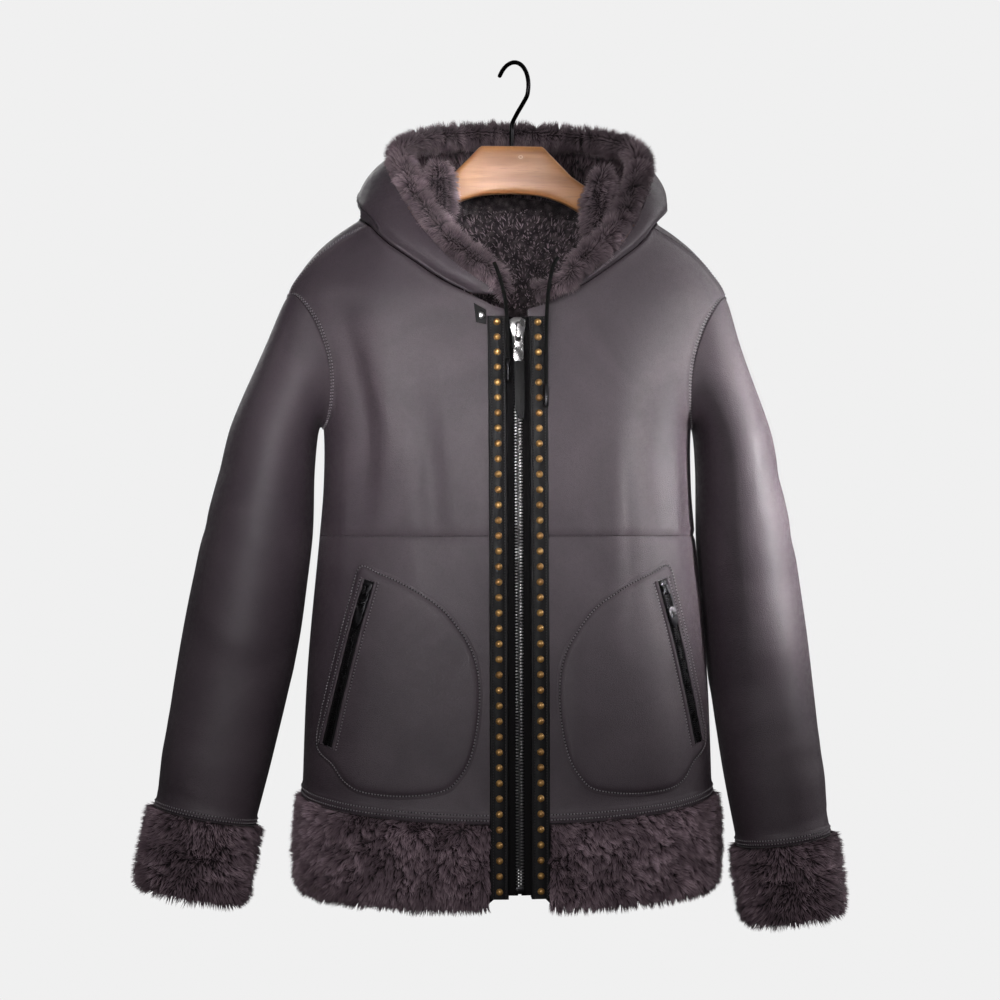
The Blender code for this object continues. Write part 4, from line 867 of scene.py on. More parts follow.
# ---- Node trees for wool and for what repeats along a line ---------------------------------------
def make_wool_tree():
    """Wool on a surface: closed three-sided hairs in tufts, combed one way, shorter round small pits and
    darker there as painted shade.
    """
    tree, given, result = new_group(
        "wool", "GeometryNodeTree",
        [
            ("Scalp", "NodeSocketGeometry", None),
            ("Density", "NodeSocketFloat", 1e6),
            ("Length", "NodeSocketFloat", 0.009),
            ("Width", "NodeSocketFloat", 0.0006),
            ("Tuft size", "NodeSocketFloat", 0.006),
            ("Tuft pull", "NodeSocketFloat", 0.6),
            ("Comb", "NodeSocketVector", None),
            ("Unruliness", "NodeSocketFloat", 0.35),
            ("Pits", "NodeSocketObject", None),
            ("Pit size", "NodeSocketFloat", 0.0),
            ("Seed", "NodeSocketInt", 1),
            ("Finish", "NodeSocketMaterial", None),
        ],
        [("Wool", "NodeSocketGeometry")],
    )
    value = given.outputs
    scatter = put(tree, "GeometryNodeDistributePointsOnFaces",
                  {"Mesh": value["Scalp"], "Density": value["Density"], "Seed": value["Seed"]})
    normal = scatter.outputs["Normal"]
    place = put(tree, "GeometryNodeInputPosition").outputs[0]
    per_metre = calc(tree, "DIVIDE", 1.0, value["Tuft size"])
    wander = noise(tree, place, 120.0, 1.0)
    drift = vector_calc(tree, "SUBTRACT", wander.outputs["Color"], (0.5, 0.5, 0.5))
    bent = vector_plus(tree, place, scaled(tree, drift, 0.008))
    tufts = put(tree, "ShaderNodeTexVoronoi", {"Vector": bent, "Scale": per_metre, "Randomness": 1.0})
    toward = scaled(tree, vector_calc(tree, "SUBTRACT", tufts.outputs["Position"], bent), value["Tuft pull"])
    lift = scaled(tree, normal, vector_calc(tree, "DOT_PRODUCT", toward, normal))
    toward = vector_calc(tree, "SUBTRACT", toward, lift)
    random = put(tree, "FunctionNodeRandomValue", {0: (-1, -1, -1), 1: (1, 1, 1), "Seed": value["Seed"]},
                 data_type="FLOAT_VECTOR").outputs[0]
    tuft_lean = vector_calc(tree, "SUBTRACT", tufts.outputs["Color"], (0.5, 0.5, 0.5))
    swirl = noise(tree, place, 42.0, 1.0)
    swirl_lean = vector_calc(tree, "SUBTRACT", swirl.outputs["Color"], (0.5, 0.5, 0.5))
    sway = vector_plus(tree, scaled(tree, random, 0.30), scaled(tree, tuft_lean, 0.9))
    sway = vector_plus(tree, sway, scaled(tree, swirl_lean, 3.0))
    sway = scaled(tree, sway, times(tree, value["Unruliness"], value["Length"]))
    one = put(tree, "FunctionNodeRandomValue", {2: 0.0, 3: 1.0, "Seed": plus(tree, value["Seed"], 7.0)},
              data_type="FLOAT").outputs[1]
    near = put(tree, "GeometryNodeProximity", target_element="POINTS")
    pits = put(tree, "GeometryNodeObjectInfo", {"Object": value["Pits"]})
    tree.links.new(pits.outputs["Geometry"], near.inputs[0])
    pit_edge = plus(tree, value["Pit size"], 0.00001)
    clear = ramp(tree, calc(tree, "DIVIDE", near.outputs["Distance"], pit_edge), 0.3, 1.3)
    has_pits = ramp(tree, value["Pit size"], 0.0, 0.0005)
    depth = calc(tree, "SUBTRACT", 1.0, times(tree, has_pits, calc(tree, "SUBTRACT", 1.0, clear)))
    lumps = noise(tree, place, 55.0, 2.0).outputs[0]
    size = times(tree, ramp(tree, one, 0.0, 1.0, 0.70, 1.08), ramp(tree, lumps, 0.3, 0.7, 0.80, 1.06))
    size = times(tree, size, ramp(tree, depth, 0.0, 1.0, 0.35, 1.0))
    up = scaled(tree, normal, value["Length"])
    way = vector_plus(tree, vector_plus(tree, up, toward), sway)
    way = vector_plus(tree, way, scaled(tree, value["Comb"], value["Length"]))
    turn = put(tree, "FunctionNodeAlignRotationToVector", {"Vector": way}, axis="Z")
    wide = times(tree, value["Width"], ramp(tree, one, 0.0, 1.0, 0.8, 1.2))
    tall = times(tree, value["Length"], size)
    scale = put(tree, "ShaderNodeCombineXYZ", {0: wide, 1: wide, 2: tall}).outputs[0]
    hair = put(tree, "GeometryNodeMeshCone",
               {"Vertices": 3, "Radius Top": 0.0, "Radius Bottom": 1.0, "Depth": 1.0})
    on_hair = put(tree, "GeometryNodeInputPosition").outputs[0]
    height = put(tree, "ShaderNodeSeparateXYZ", {0: on_hair}).outputs[2]
    marked = mark(tree, hair.outputs["Mesh"], "along", height)
    tone = plus(tree, times(tree, one, 0.45),
                times(tree, put(tree, "ShaderNodeSeparateXYZ", {0: tufts.outputs["Color"]}).outputs[0], 0.55))
    patch = ramp(tree, noise(tree, place, 30.0, 2.0).outputs[0],
                 0.32, 0.68, 0.55, 1.25)
    # Near the pits depth lowers the tone: painted shade in the pits; patch is a slow random change of tone.
    tone = times(tree, times(tree, tone, depth), patch)
    points = mark(tree, scatter.outputs["Points"], "tone", tone)
    points = mark(tree, points, "skin_normal", normal, "FLOAT_VECTOR")
    placed = put(tree, "GeometryNodeInstanceOnPoints",
                 {"Points": points, "Instance": marked, "Rotation": turn.outputs[0], "Scale": scale})
    make_real(tree, result, placed, value["Finish"])
    return tree


def make_row_tree():
    """A small piece repeated along lines that carry an outward direction: stitches, teeth or studs."""
    tree, given, result = new_group(
        "row_along_line", "GeometryNodeTree",
        [
            ("Lines", "NodeSocketGeometry", None),
            ("Pitch", "NodeSocketFloat", 0.0036),
            ("Piece", "NodeSocketObject", None),
            ("Finish", "NodeSocketMaterial", None),
        ],
        [("Row", "NodeSocketGeometry")],
    )
    curve = put(tree, "GeometryNodeMeshToCurve", {"Mesh": given.outputs["Lines"]})
    spaced = put(tree, "GeometryNodeResampleCurve",
                 {"Curve": curve.outputs[0], "Length": given.outputs["Pitch"]}, mode="LENGTH")
    named = put(tree, "GeometryNodeInputNamedAttribute", {"Name": "outward"}, data_type="FLOAT_VECTOR")
    outward = named.outputs[0]
    tangent = put(tree, "GeometryNodeInputTangent").outputs[0]
    first = put(tree, "FunctionNodeAlignRotationToVector", {"Vector": tangent}, axis="X")
    turn = put(tree, "FunctionNodeAlignRotationToVector",
               {"Rotation": first.outputs[0], "Vector": outward}, axis="Z", pivot_axis="X")
    piece = put(tree, "GeometryNodeObjectInfo", {"Object": given.outputs["Piece"]})
    placed = put(tree, "GeometryNodeInstanceOnPoints",
                 {"Points": spaced.outputs[0], "Instance": piece.outputs["Geometry"],
                  "Rotation": turn.outputs[0]})
    make_real(tree, result, placed, given.outputs["Finish"])
    return tree


WOOL_TREE = make_wool_tree()
ROW_TREE = make_row_tree()


def grow(name, source, tree, **values):
    """Run a node tree on a helper object and keep the result as a plain mesh object."""
    modifier = source.modifiers.new(name, "NODES")
    modifier.node_group = tree
    for item in tree.interface.items_tree:
        key = item.name.replace(" ", "_")
        if item.item_type == "SOCKET" and item.in_out == "INPUT" and key in values:
            modifier[item.identifier] = values[key]
    bpy.context.view_layer.update()
    evaluated = source.evaluated_get(bpy.context.evaluated_depsgraph_get())
    mesh = bpy.data.meshes.new_from_object(evaluated)
    source.modifiers.clear()
    bpy.data.objects.remove(source)
    mesh.name = name
    return add_to_scene(name, mesh)


def add_helper(name, points, edges=(), outward=None):
    """A helper mesh of points and edges that a node tree reads."""
    mesh = bpy.data.meshes.new(name)
    mesh.from_pydata([tuple(p) for p in points], list(edges), [])
    if outward is not None:
        attribute = mesh.attributes.new("outward", "FLOAT_VECTOR", "POINT")
        attribute.data.foreach_set("vector", np.asarray(outward, float).ravel())
    return add_to_scene(name, mesh)


def add_row(name, lines, pitch, piece, finish):
    """Repeat a piece along lines; each line is an array of points and one of outward directions."""
    points, ways, edges, start = [], [], [], 0
    for line, outward in lines:
        line = np.array(line, float)
        line[:, 0] += JACKET_SHIFT
        points.append(line)
        ways.append(np.broadcast_to(outward, line.shape))
        edges += [(start + i, start + i + 1) for i in range(len(line) - 1)]
        start += len(line)
    helper = add_helper(name + "_lines", np.concatenate(points), edges, np.concatenate(ways))
    return grow(name, helper, ROW_TREE, Pitch=pitch, Piece=piece, Finish=finish)


# ---- Small pieces that the trees repeat ----------------------------------------------------------
def add_stitch(pitch, radius):
    """One stitch along X, dipping in at both ends, and beside it a small piece painted black as the shade of
    the needle hole.
    """
    length = pitch * 0.74
    points, faces = [], []
    for along, rise, size in ((-0.5, -0.7, 0.5), (0.0, 0.3, 1.0), (0.5, -0.7, 0.5)):
        for k in range(4):
            a = math.pi / 2 * k
            points.append((along * length, math.cos(a) * radius * size, radius * (rise + math.sin(a) * size)))
    for ring in (0, 4):
        faces += [(ring + k, ring + (k + 1) % 4, ring + 4 + (k + 1) % 4, ring + 4 + k) for k in range(4)]
    faces += [(3, 2, 1, 0), (8, 9, 10, 11)]
    thread = len(points)
    for k in range(4):
        a = math.pi / 2 * k
        points.append((pitch / 2 + pitch * 0.24 * math.cos(a), radius * 1.3 * math.sin(a), 0.0))
    points += [(pitch / 2, 0, radius * 0.35), (pitch / 2, 0, -radius * 0.6)]
    for k in range(4):
        m = (k + 1) % 4
        faces += [(thread + k, thread + m, thread + 4), (thread + m, thread + k, thread + 5)]
    stitch = add_object("stitch", points, faces, [])
    hole = stitch.data.attributes.new("hole", "FLOAT", "POINT")
    hole.data.foreach_set("value", [0.0] * thread + [1.0] * 6)
    return stitch


def add_tooth(pitch, reach, thick):
    """One zip tooth; X runs along the chain and Y towards the other row."""
    plan = [(-0.30, -0.5), (0.30, -0.5), (0.30, 0.25), (0.18, 0.5), (-0.18, 0.5), (-0.30, 0.25)]
    points = [(x * pitch, y * reach, z * thick) for z in (-0.5, 0.35) for x, y in plan]
    points += [(x * pitch * 0.7, y * reach * 0.8, 0.5 * thick) for x, y in plan]
    faces = [tuple(range(5, -1, -1)), tuple(range(12, 18))]
    for level in (0, 6):
        faces += [(level + k, level + (k + 1) % 6, level + 6 + (k + 1) % 6, level + 6 + k) for k in range(6)]
    return add_object("tooth", points, faces, [])


def add_stud(radius, height):
    """One domed stud on a thin flange, its underside sunk in the leather."""
    profile = [(0.92, -0.20), (1.0, 0.05), (0.94, 0.22), (0.78, 0.60), (0.45, 0.90), (0.18, 0.99)]
    count = 12
    turns = [2 * math.pi * k / count for k in range(count)]
    points = []
    for r, z in profile:
        points += [(radius * r * math.cos(a), radius * r * math.sin(a), height * z) for a in turns]
    faces = [tuple(range(count - 1, -1, -1)), tuple(range(len(points) - count, len(points)))]
    for level in range(len(profile) - 1):
        low, high = level * count, (level + 1) * count
        faces += [(low + k, low + (k + 1) % count, high + (k + 1) % count, high + k) for k in range(count)]
    return add_object("stud", points, faces, [])


SEAM_PITCH, STRIP_PITCH = 0.0031, 0.0027
SEAM_STITCH = add_stitch(SEAM_PITCH, 0.00074)
STRIP_STITCH = add_stitch(STRIP_PITCH, 0.00042)
CHAIN_PITCH, POCKET_CHAIN_PITCH = 0.0030, 0.0022
CHAIN_ROW_PITCH = 0.00299   # a little under the pitch of the points that the row runs through
POCKET_CHAIN_LENGTH = 0.145
TOOTH = add_tooth(CHAIN_PITCH, 0.0046, 0.0034)
SMALL_TOOTH = add_tooth(POCKET_CHAIN_PITCH, 0.0032, 0.0022)
STUD = add_stud(0.0035, 0.0029)
HELPERS = [SEAM_STITCH, STRIP_STITCH, TOOTH, SMALL_TOOTH, STUD]


# ---- Leather shells ------------------------------------------------------------------------------
DEGREE = 0.0033             # length of one degree round the body, about
SEAM_DIP = 0.0016           # how far a sewn edge sinks
SEAM_REACH = 0.0022
PADDING = 0.0013            # how far the folded-in leather beside a seam stands up, and how wide it is
BAND_WIDTH = 0.0105
STITCH_ROWS = (0.0034, 0.0082)
HOOD_STITCH_ROW = 0.012     # space from the hood's seam, as a way round
GROOVE = 0.0005             # depth under a row of stitches
GROOVE_REACH = 0.0012       # half-width of that groove, and of the slope at the padding's edge
CROWDING = 0.62             # how much closer the columns stand at a sewn edge


def seam_profile(away, padded=True):
    """Height of the leather at a distance from a sewn edge, where it sinks; padded, it swells beside it."""
    if not padded:
        return -SEAM_DIP * np.exp(-((away / SEAM_REACH) ** 2))
    groove = sum(np.exp(-(((away - row) / GROOVE_REACH) ** 2)) for row in STITCH_ROWS)
    band = 1 / (1 + np.exp((away - BAND_WIDTH) / GROOVE_REACH))
    return -SEAM_DIP * np.exp(-((away / SEAM_REACH) ** 2)) + PADDING * band - GROOVE * groove


def panel_angles(start, end, columns, level):
    """Angles of a panel's columns; below the shoulder only those near an armhole follow its curve."""
    share = np.linspace(0, 1, columns + 1)[None, :]
    if start.mean() < 45:
        share = share + CROWDING * np.sin(np.pi * share) / np.pi
    else:
        share = share - CROWDING * np.sin(2 * np.pi * share) / (2 * np.pi)
    start, end = start[:, None], end[:, None]
    even = start + (end - start) * share
    follow = smooth((level[:, None] - TIP + 0.06) / 0.05)
    low, high = np.where(start > 45, 90, start), np.where(end <= 90, 90, 270)
    ladder = low * (1 - share) + high * share
    ladder = ladder + np.where(start > 45, start - 90, 0) * (1 - share) ** 3 + (end - high) * share**3
    return ladder * (1 - follow) + even * follow


def arm_levels(step):
    """Levels from the underarm to the shoulder tip, close together at both ends."""
    count = int((TIP - UNDERARM) / step)
    return UNDERARM + (TIP - UNDERARM) * (1 - np.cos(np.pi * np.arange(count + 1) / count)) / 2


def add_panel(name, levels, low_edge, high_edge, columns, flip=1, seams=("start", "end")):
    """A wall of the body between two edges, each a function of level; flip -1 mirrors it."""
    levels = np.asarray(levels, float)
    step = 0.07
    start, end = low_edge(levels) + step, high_edge(levels) - step
    angles = panel_angles(start, end, columns, levels)
    grid = np.broadcast_to(levels[:, None], angles.shape)
    height = np.zeros(angles.shape)
    away = {"start": (angles - start[:, None]) * DEGREE, "end": (end[:, None] - angles) * DEGREE,
            "foot": grid - levels[0], "head": levels[-1] - grid}
    sewn_down = smooth((grid - UNDERARM) / 0.01)
    for edge in seams:
        plain, padded = seam_profile(away[edge], False), seam_profile(away[edge])
        if edge == "foot":
            height += padded if levels[0] < WAIST - 0.1 else plain
        elif edge == "head":
            height += plain
        else:
            height += plain * (1 - sewn_down) + padded * sewn_down
    outer = creased(flip * angles, grid, height)
    inner = body(flip * angles, grid, -WALL + WALL_SHORT)
    return add_wall(name, outer, inner, LEATHER, WOOL_SIDE)


def hem_levels(low, high, count):
    """Levels up a panel, close together at the sewn foot."""
    return np.concatenate([np.linspace(low, low + 0.013, 12)[:-1], np.linspace(low + 0.013, high, count)])


def make_body():
    arm = arm_levels(0.0035)
    neck = np.array([row[0] for row in NECKLINE])
    fine_neck = np.unique(np.concatenate([np.linspace(a, b, 4) for a, b in zip(neck, neck[1:])]))
    upper = np.concatenate([np.linspace(WAIST + SEAM / 2, UNDERARM, 24)[:-1], arm,
                            np.linspace(TIP, NECK_SIDE - 0.002, 18)[1:]])
    lower = hem_levels(HEM_TOP + SEAM / 2, WAIST - SEAM / 2, 44)
    for side, flip in SIDES:
        panel = add_panel(f"upper_front_leather_{side}", upper, front_inner_edge, front_outer_edge, 52, flip,
                          ("start", "end", "foot"))
        keep(panel, "leather", f"front_upper_{side}")
        panel = add_panel(f"lower_front_leather_{side}", lower, front_inner_edge, front_outer_edge, 52, flip,
                          ("end", "foot", "head"))
        keep(panel, "leather", f"front_lower_{side}")
    back = np.concatenate([hem_levels(HEM_TOP + SEAM / 2, UNDERARM, 46)[:-1], arm,
                           np.linspace(TIP, NECK_SIDE, 18)[1:], fine_neck[fine_neck > NECK_SIDE]])
    panel = add_panel("back_leather", back, back_outer_edge, lambda z: 360 - back_outer_edge(z), 72, 1,
                      ("start", "end", "foot"))
    keep(panel, "leather", "back")


SLEEVE_LENGTH = 0.56
ARMHOLE_BLEND = 0.24        # way over which a sleeve turns from the armhole into plain rings


def make_sleeve(side, flip):
    """Sleeve shell from the armhole's seam to the cuff's."""
    count = 80
    ways = np.concatenate([
        np.linspace(0, ARMHOLE_BLEND, 22)[:-1], np.linspace(ARMHOLE_BLEND, 0.97, 58)[:-1],
        np.linspace(0.97, 1.0, 14),
    ])
    share = np.arange(count) * 2 / count
    turn = np.radians(-90 + 180 * share)
    way, turns = np.meshgrid(ways, turn, indexing="ij")
    shares = np.broadcast_to(share[None, :], way.shape)
    blend = smooth(way / ARMHOLE_BLEND)[..., None]
    puff = sleeve_height(way, turns, SLEEVE_FOLDS)
    dips = seam_profile(way * SLEEVE_LENGTH * 0.8, False) + seam_profile((1 - way) * SLEEVE_LENGTH)
    fine = sleeve_height(way, turns, SLEEVE_CREASES) + dips
    root, root_in = armhole_point(shares), armhole_point(shares, -WALL)
    outer = root * (1 - blend) + ring_point(side, way, turns, puff) * blend
    inner = root_in * (1 - blend) + ring_point(side, way, turns, puff - WALL + WALL_SHORT) * blend
    outer = outer + unit(outer - inner) * fine[..., None]
    clear = np.array([ARMHOLE_SPACE, 0, 0])
    outer, inner = outer + clear, inner + clear
    if flip < 0:
        outer, inner = mirrored(outer), mirrored(inner)
    sleeve = add_wall(f"sleeve_leather_{side}", outer, inner, LEATHER, WOOL_SIDE, tube=True)
    keep(sleeve, "leather", f"sleeve_{side}")


# ---- Wool bands ----------------------------------------------------------------------------------
BAND_WOOL = 0.0108          # length of the hem's and cuffs' wool
BAND_LOOK = {"tuft": 0.0065, "pull": 0.44, "wild": 0.50}    # of the hem and the cuffs
HOOD_LOOK = {"tuft": 0.012, "pull": 0.28, "wild": 0.42}     # of the roll and the lobes
HANG = (0, 0, -0.35)        # way that the hood's and the neck's wool is combed
HEM_BACK_DENSITY, HEM_FRONT_DENSITY, CUFF_DENSITY = 0.29e6, 1.00e6, 0.50e6      # hairs a square metre
ROLL_DENSITY, ROLL_CENTRE_DENSITY, LOBE_DENSITY = 1.14e6, 1.1e6, 0.75e6
HOOD_DENSITY, NECK_DENSITY = 0.140e6, 0.100e6
WOOL_FOOT = 0.0062          # depth under the leather that the hood's and the neck's wool grows from
PIT_SIZE = 0.0030
HEM_SKIN = [                # level, distance outside the leather, of the skin the hem's wool grows from
    (-0.8155, -0.0085), (-0.8120, -0.0040), (-0.8060, -0.0005), (-0.7950, 0.0018), (-0.7600, 0.0025),
    (-0.7280, 0.0014), (-0.7205, -0.0010),
]
PIT_ROWS = (-0.757, -0.785)         # levels of the hem's pits
PIT_STEP = 2.6              # degrees from one to the next
PLACKET_NOTCH = 0.13        # share of the hem's height by which its skin is shorter behind the strips


def add_wool(name, grid, outward, finish, density, length, seed, comb, wraps=False, tuft=0.0085, pull=0.50,
             width=0.00058, wild=0.30, pits=None):
    """Grow wool from a grid of points; pits are places round which it is shorter and painted darker as shade.
    """
    scalp = add_scalp(grid, outward, wraps)
    pit_object = add_helper("pits", [(0, 0, 0)] if pits is None else pits)
    wool = grow(name, scalp, WOOL_TREE, Density=density, Length=length, Width=width, Tuft_size=tuft,
                Tuft_pull=pull, Comb=comb, Unruliness=wild, Pits=pit_object,
                Pit_size=0.0 if pits is None else PIT_SIZE, Seed=seed, Finish=finish)
    bpy.data.objects.remove(pit_object)
    return keep(wool, "fur")


def make_hem():
    near = OPENING + PLACKET_WIDTH + 0.0016
    level = np.linspace(HEM_SKIN[0][0], HEM_SKIN[-1][0], 30)
    out = read(HEM_SKIN, level)[..., 0]
    spans = {"hem_front_L": (0, 1), "hem_front_R": (0, -1), "hem_back": (1, 1)}
    for number, (name, (behind, flip)) in enumerate(spans.items()):
        if behind:
            angles = np.linspace(90.1, 269.9, 90)
        else:
            angles = flip * np.linspace(angle_at(OPENING, HEM_TOP) + 0.1, 89.9, 60)
        grid_angle, grid_level = np.meshgrid(angles, level)
        outs = np.broadcast_to(out[:, None], grid_angle.shape)
        edge = angle_at(near, grid_level)
        beside = smooth((np.abs(grid_angle) - edge + 0.8) / 1.2) if not behind else 1.0
        grid_level = HEM_TOP + (grid_level - HEM_TOP) * (1 - PLACKET_NOTCH * (1 - beside))
        outer = body(grid_angle, grid_level, (outs * beside - 0.0012 * (1 - beside)))
        inner = body(grid_angle, grid_level, -WALL - 0.001)
        skin = add_wall(name + "_skin", outer, inner, WOOL_SKIN, WOOL_SIDE)
        keep(skin, "fur", name)
        shown = np.abs(grid_angle[0]) > edge[0] - 0.9 if not behind else np.ones(len(angles), bool)
        pits = []
        for row, pit_level in enumerate(PIT_ROWS):
            pit_angles = np.arange(np.abs(angles[shown]).min() + 1.0, np.abs(angles[shown]).max(), PIT_STEP)
            pit_angles = flip * (pit_angles + PIT_STEP / 2 * row)
            wander = 0.0035 * np.sin(pit_angles * 0.9) + 0.002 * np.sin(pit_angles * 2.3 + 1)
            pits.append(body(pit_angles, pit_level + wander, 0.0035) + SHIFT)
        outward = body_normal(grid_angle[:, shown], grid_level[:, shown])
        density = HEM_BACK_DENSITY if behind else HEM_FRONT_DENSITY
        add_wool(name + "_wool", outer[:, shown], outward, WOOL, density, BAND_WOOL, seed=11 + number,
                 comb=(0, 0, -0.40), pits=np.concatenate(pits), **BAND_LOOK)


CUFF_PIT_ROWS = [(0.45, 0.0), (0.72, 0.5)]      # share of the cuff's length, shift in steps
# Share of the cuff's length, distance outside the leather of the skin that its wool grows from.
CUFF_SKIN = [(-0.04, 0.0), (0.03, 0.0018), (0.35, 0.0028), (0.80, 0.0026), (0.93, 0.0008), (1.0, -0.0040)]


def make_cuff(side, flip):
    count = 72
    share = np.linspace(0.0, 1.0, 26)
    tilt = math.radians(SLEEVE[side][-1][5])
    down = np.array([math.sin(tilt), 0, -math.cos(tilt)])
    turn = np.radians(-90 + 360 * np.arange(count) / count)
    shares, turns = np.meshgrid(share, turn, indexing="ij")
    one = np.ones(shares.shape)
    shift = down * (SEAM + CUFF_LENGTH * shares)[..., None] + np.array([ARMHOLE_SPACE, 0, 0])
    out = read(CUFF_SKIN, shares)[..., 0]
    outer = ring_point(side, one, turns, out) + shift
    inner = ring_point(side, one, turns, -WALL + 0 * out) + shift
    outward = ring_outward(side, one, turns)
    comb = down * 0.38
    if flip < 0:
        outer, inner, outward, comb = mirrored(outer), mirrored(inner), mirrored(outward), mirrored(comb)
    skin = add_wall(f"cuff_skin_{side}", outer, inner, WOOL_SKIN, WOOL_SIDE, tube=True)
    keep(skin, "fur", f"cuff_{side}")
    pits = []
    for row_share, offset in CUFF_PIT_ROWS:
        pit_turn = np.radians(np.arange(-88, 90, 9.0) + 9 * offset)
        point = ring_point(side, np.ones(len(pit_turn)), pit_turn, 0.004 * np.ones(len(pit_turn)))
        point = point + down * CUFF_LENGTH * row_share
        pits.append(point if flip > 0 else mirrored(point))
    pits = np.concatenate(pits) + SHIFT
    add_wool(f"cuff_wool_{side}", outer, outward, WOOL, CUFF_DENSITY, BAND_WOOL, seed=21 + flip,
             comb=tuple(comb), wraps=True, pits=pits, **BAND_LOOK)


# ---- Hood ----------------------------------------------------------------------------------------
def add_hood_panel(name, start, end, columns, node):
    heights = np.linspace(0, 1, 40)
    share = np.linspace(0, 1, columns + 1)[None, :]
    first, last = start(heights)[:, None], end(heights)[:, None]
    way = first + (last - first) * share
    height = np.broadcast_to(heights[:, None], way.shape)
    dip = seam_profile((way - first) * HOOD_ROUND) + seam_profile((last - way) * HOOD_ROUND)
    dip = dip + seam_profile(height * HOOD_RISE)
    inward = hood_inward(way, height)
    surface = hood(way, height)
    outer = surface - inward * dip[..., None]
    inner = surface + inward * (WALL - 0.001)
    panel = add_wall(name, outer, inner, LEATHER, WOOL_SIDE)
    keep(panel, "leather", node)


def make_hood():
    seam, gap = hood_seam, HOOD_GAP
    front = HOOD_FRONT
    add_hood_panel("hood_side_leather_L", lambda h: front + 0 * h, lambda h: seam(h) - gap,
                   60, "hood_side_L")
    add_hood_panel("hood_side_leather_R", lambda h: 2 - seam(h) + gap, lambda h: 2 - front + 0 * h,
                   60, "hood_side_R")
    add_hood_panel("hood_centre_leather", lambda h: seam(h) + gap, lambda h: 2 - seam(h) - gap,
                   96, "hood_centre")


def roll_frame(way):
    """Edge point, upward direction and outward normal of the fur roll along the hood's edge."""
    along = unit(hood(way + 0.01, 1.0) - hood(way - 0.01, 1.0))
    rise = hood(way, 1.0) - hood(way, 0.9)
    rise = unit(rise - along * np.sum(along * rise, -1, keepdims=True))
    return hood(way, 1.0), rise, np.cross(along, rise)


def roll_rings(way, size, grow_by, count=20):
    """Rings of the roll: `size` is its share of the full size at each way, `grow_by` the share of that."""
    edge, rise, normal = roll_frame(way)
    centre = edge + rise * (ROLL_LONG * size + ROLL_SPACE)[:, None] - normal * ROLL_SET_BACK
    turn = np.arange(count) * 2 * np.pi / count
    radius = (size * grow_by)[:, None]
    along, thick = ROLL_LONG * radius * np.cos(turn), ROLL_THICK * radius * np.sin(turn)
    rings = centre[:, None] + rise[:, None] * along[..., None] + normal[:, None] * thick[..., None]
    return rings, centre


def make_rolls():
    seam = HOOD_SEAM_TOP
    lengths = {"hood_fur_L": (0.022, seam - 0.004), "hood_fur_R": (2 - seam + 0.004, 1.978),
               "hood_fur_centre": (seam + 0.004, 2 - seam - 0.004)}
    for number, (name, (low, high)) in enumerate(lengths.items()):
        way = np.linspace(low, high, 90)
        front = np.minimum(way, 2 - way)
        size = 0.5 + 0.5 * smooth((front - 0.022) / 0.21)
        rings, _ = roll_rings(way, size, 0.50)
        skin = add_tube(name + "_skin", rings, WOOL_SKIN)
        keep(skin, "fur", name)
        scalp, centre = roll_rings(way, size, 0.52)
        wave = np.sin(way * 61 + 2 * np.sin(way * 23))[:, None, None]
        lumps = 1 + 0.05 * wave * np.ones((1, scalp.shape[1], 1))
        scalp = centre[:, None] + (scalp - centre[:, None]) * lumps
        density = ROLL_DENSITY if name != "hood_fur_centre" else ROLL_CENTRE_DENSITY
        add_wool(name + "_wool", scalp, scalp - centre[:, None], HOOD_WOOL, density, 0.0115,
                 seed=31 + number, comb=HANG, wraps=True, **HOOD_LOOK)


# Inner fur where the hood is bunched: side, the x, y and level of its foot and of its head, radius.
LOBES = [
    ("R", (-0.070, -0.034, -0.166), (-0.071, -0.022, -0.102), 0.0125),
    ("L", (0.082, -0.036, -0.180), (0.094, -0.018, -0.106), 0.0130),
]


def make_lobes():
    """Fur that bulges in from the hood's edge and hides the hanger's arms."""
    for number, (side, foot, head, radius) in enumerate(LOBES):
        share = np.linspace(0, 1, 24)
        centre = np.array(foot) * (1 - share[:, None]) + np.array(head) * share[:, None]
        swell = radius * np.sqrt(np.maximum(1 - (2 * share - 1) ** 2, 0.02))
        turn = np.arange(14) * 2 * np.pi / 14
        ring = np.stack([np.cos(turn), np.sin(turn), 0 * turn], -1)
        rings = centre[:, None] + ring[None] * swell[:, None, None]
        keep(add_tube(f"hood_lobe_skin_{side}", rings, WOOL_SKIN), "fur")
        add_wool(f"hood_lobe_wool_{side}", rings, ring[None] + 0 * rings, HOOD_WOOL, LOBE_DENSITY, 0.0105,
                 seed=51 + number, comb=(0, -0.1, -0.4), wraps=True, **HOOD_LOOK)


def neck_level(angle):
    """Level of the neckline at an angle from the front."""
    rows = np.array(NECKLINE)
    return np.interp(np.abs(angle), rows[:, 1], rows[:, 0])


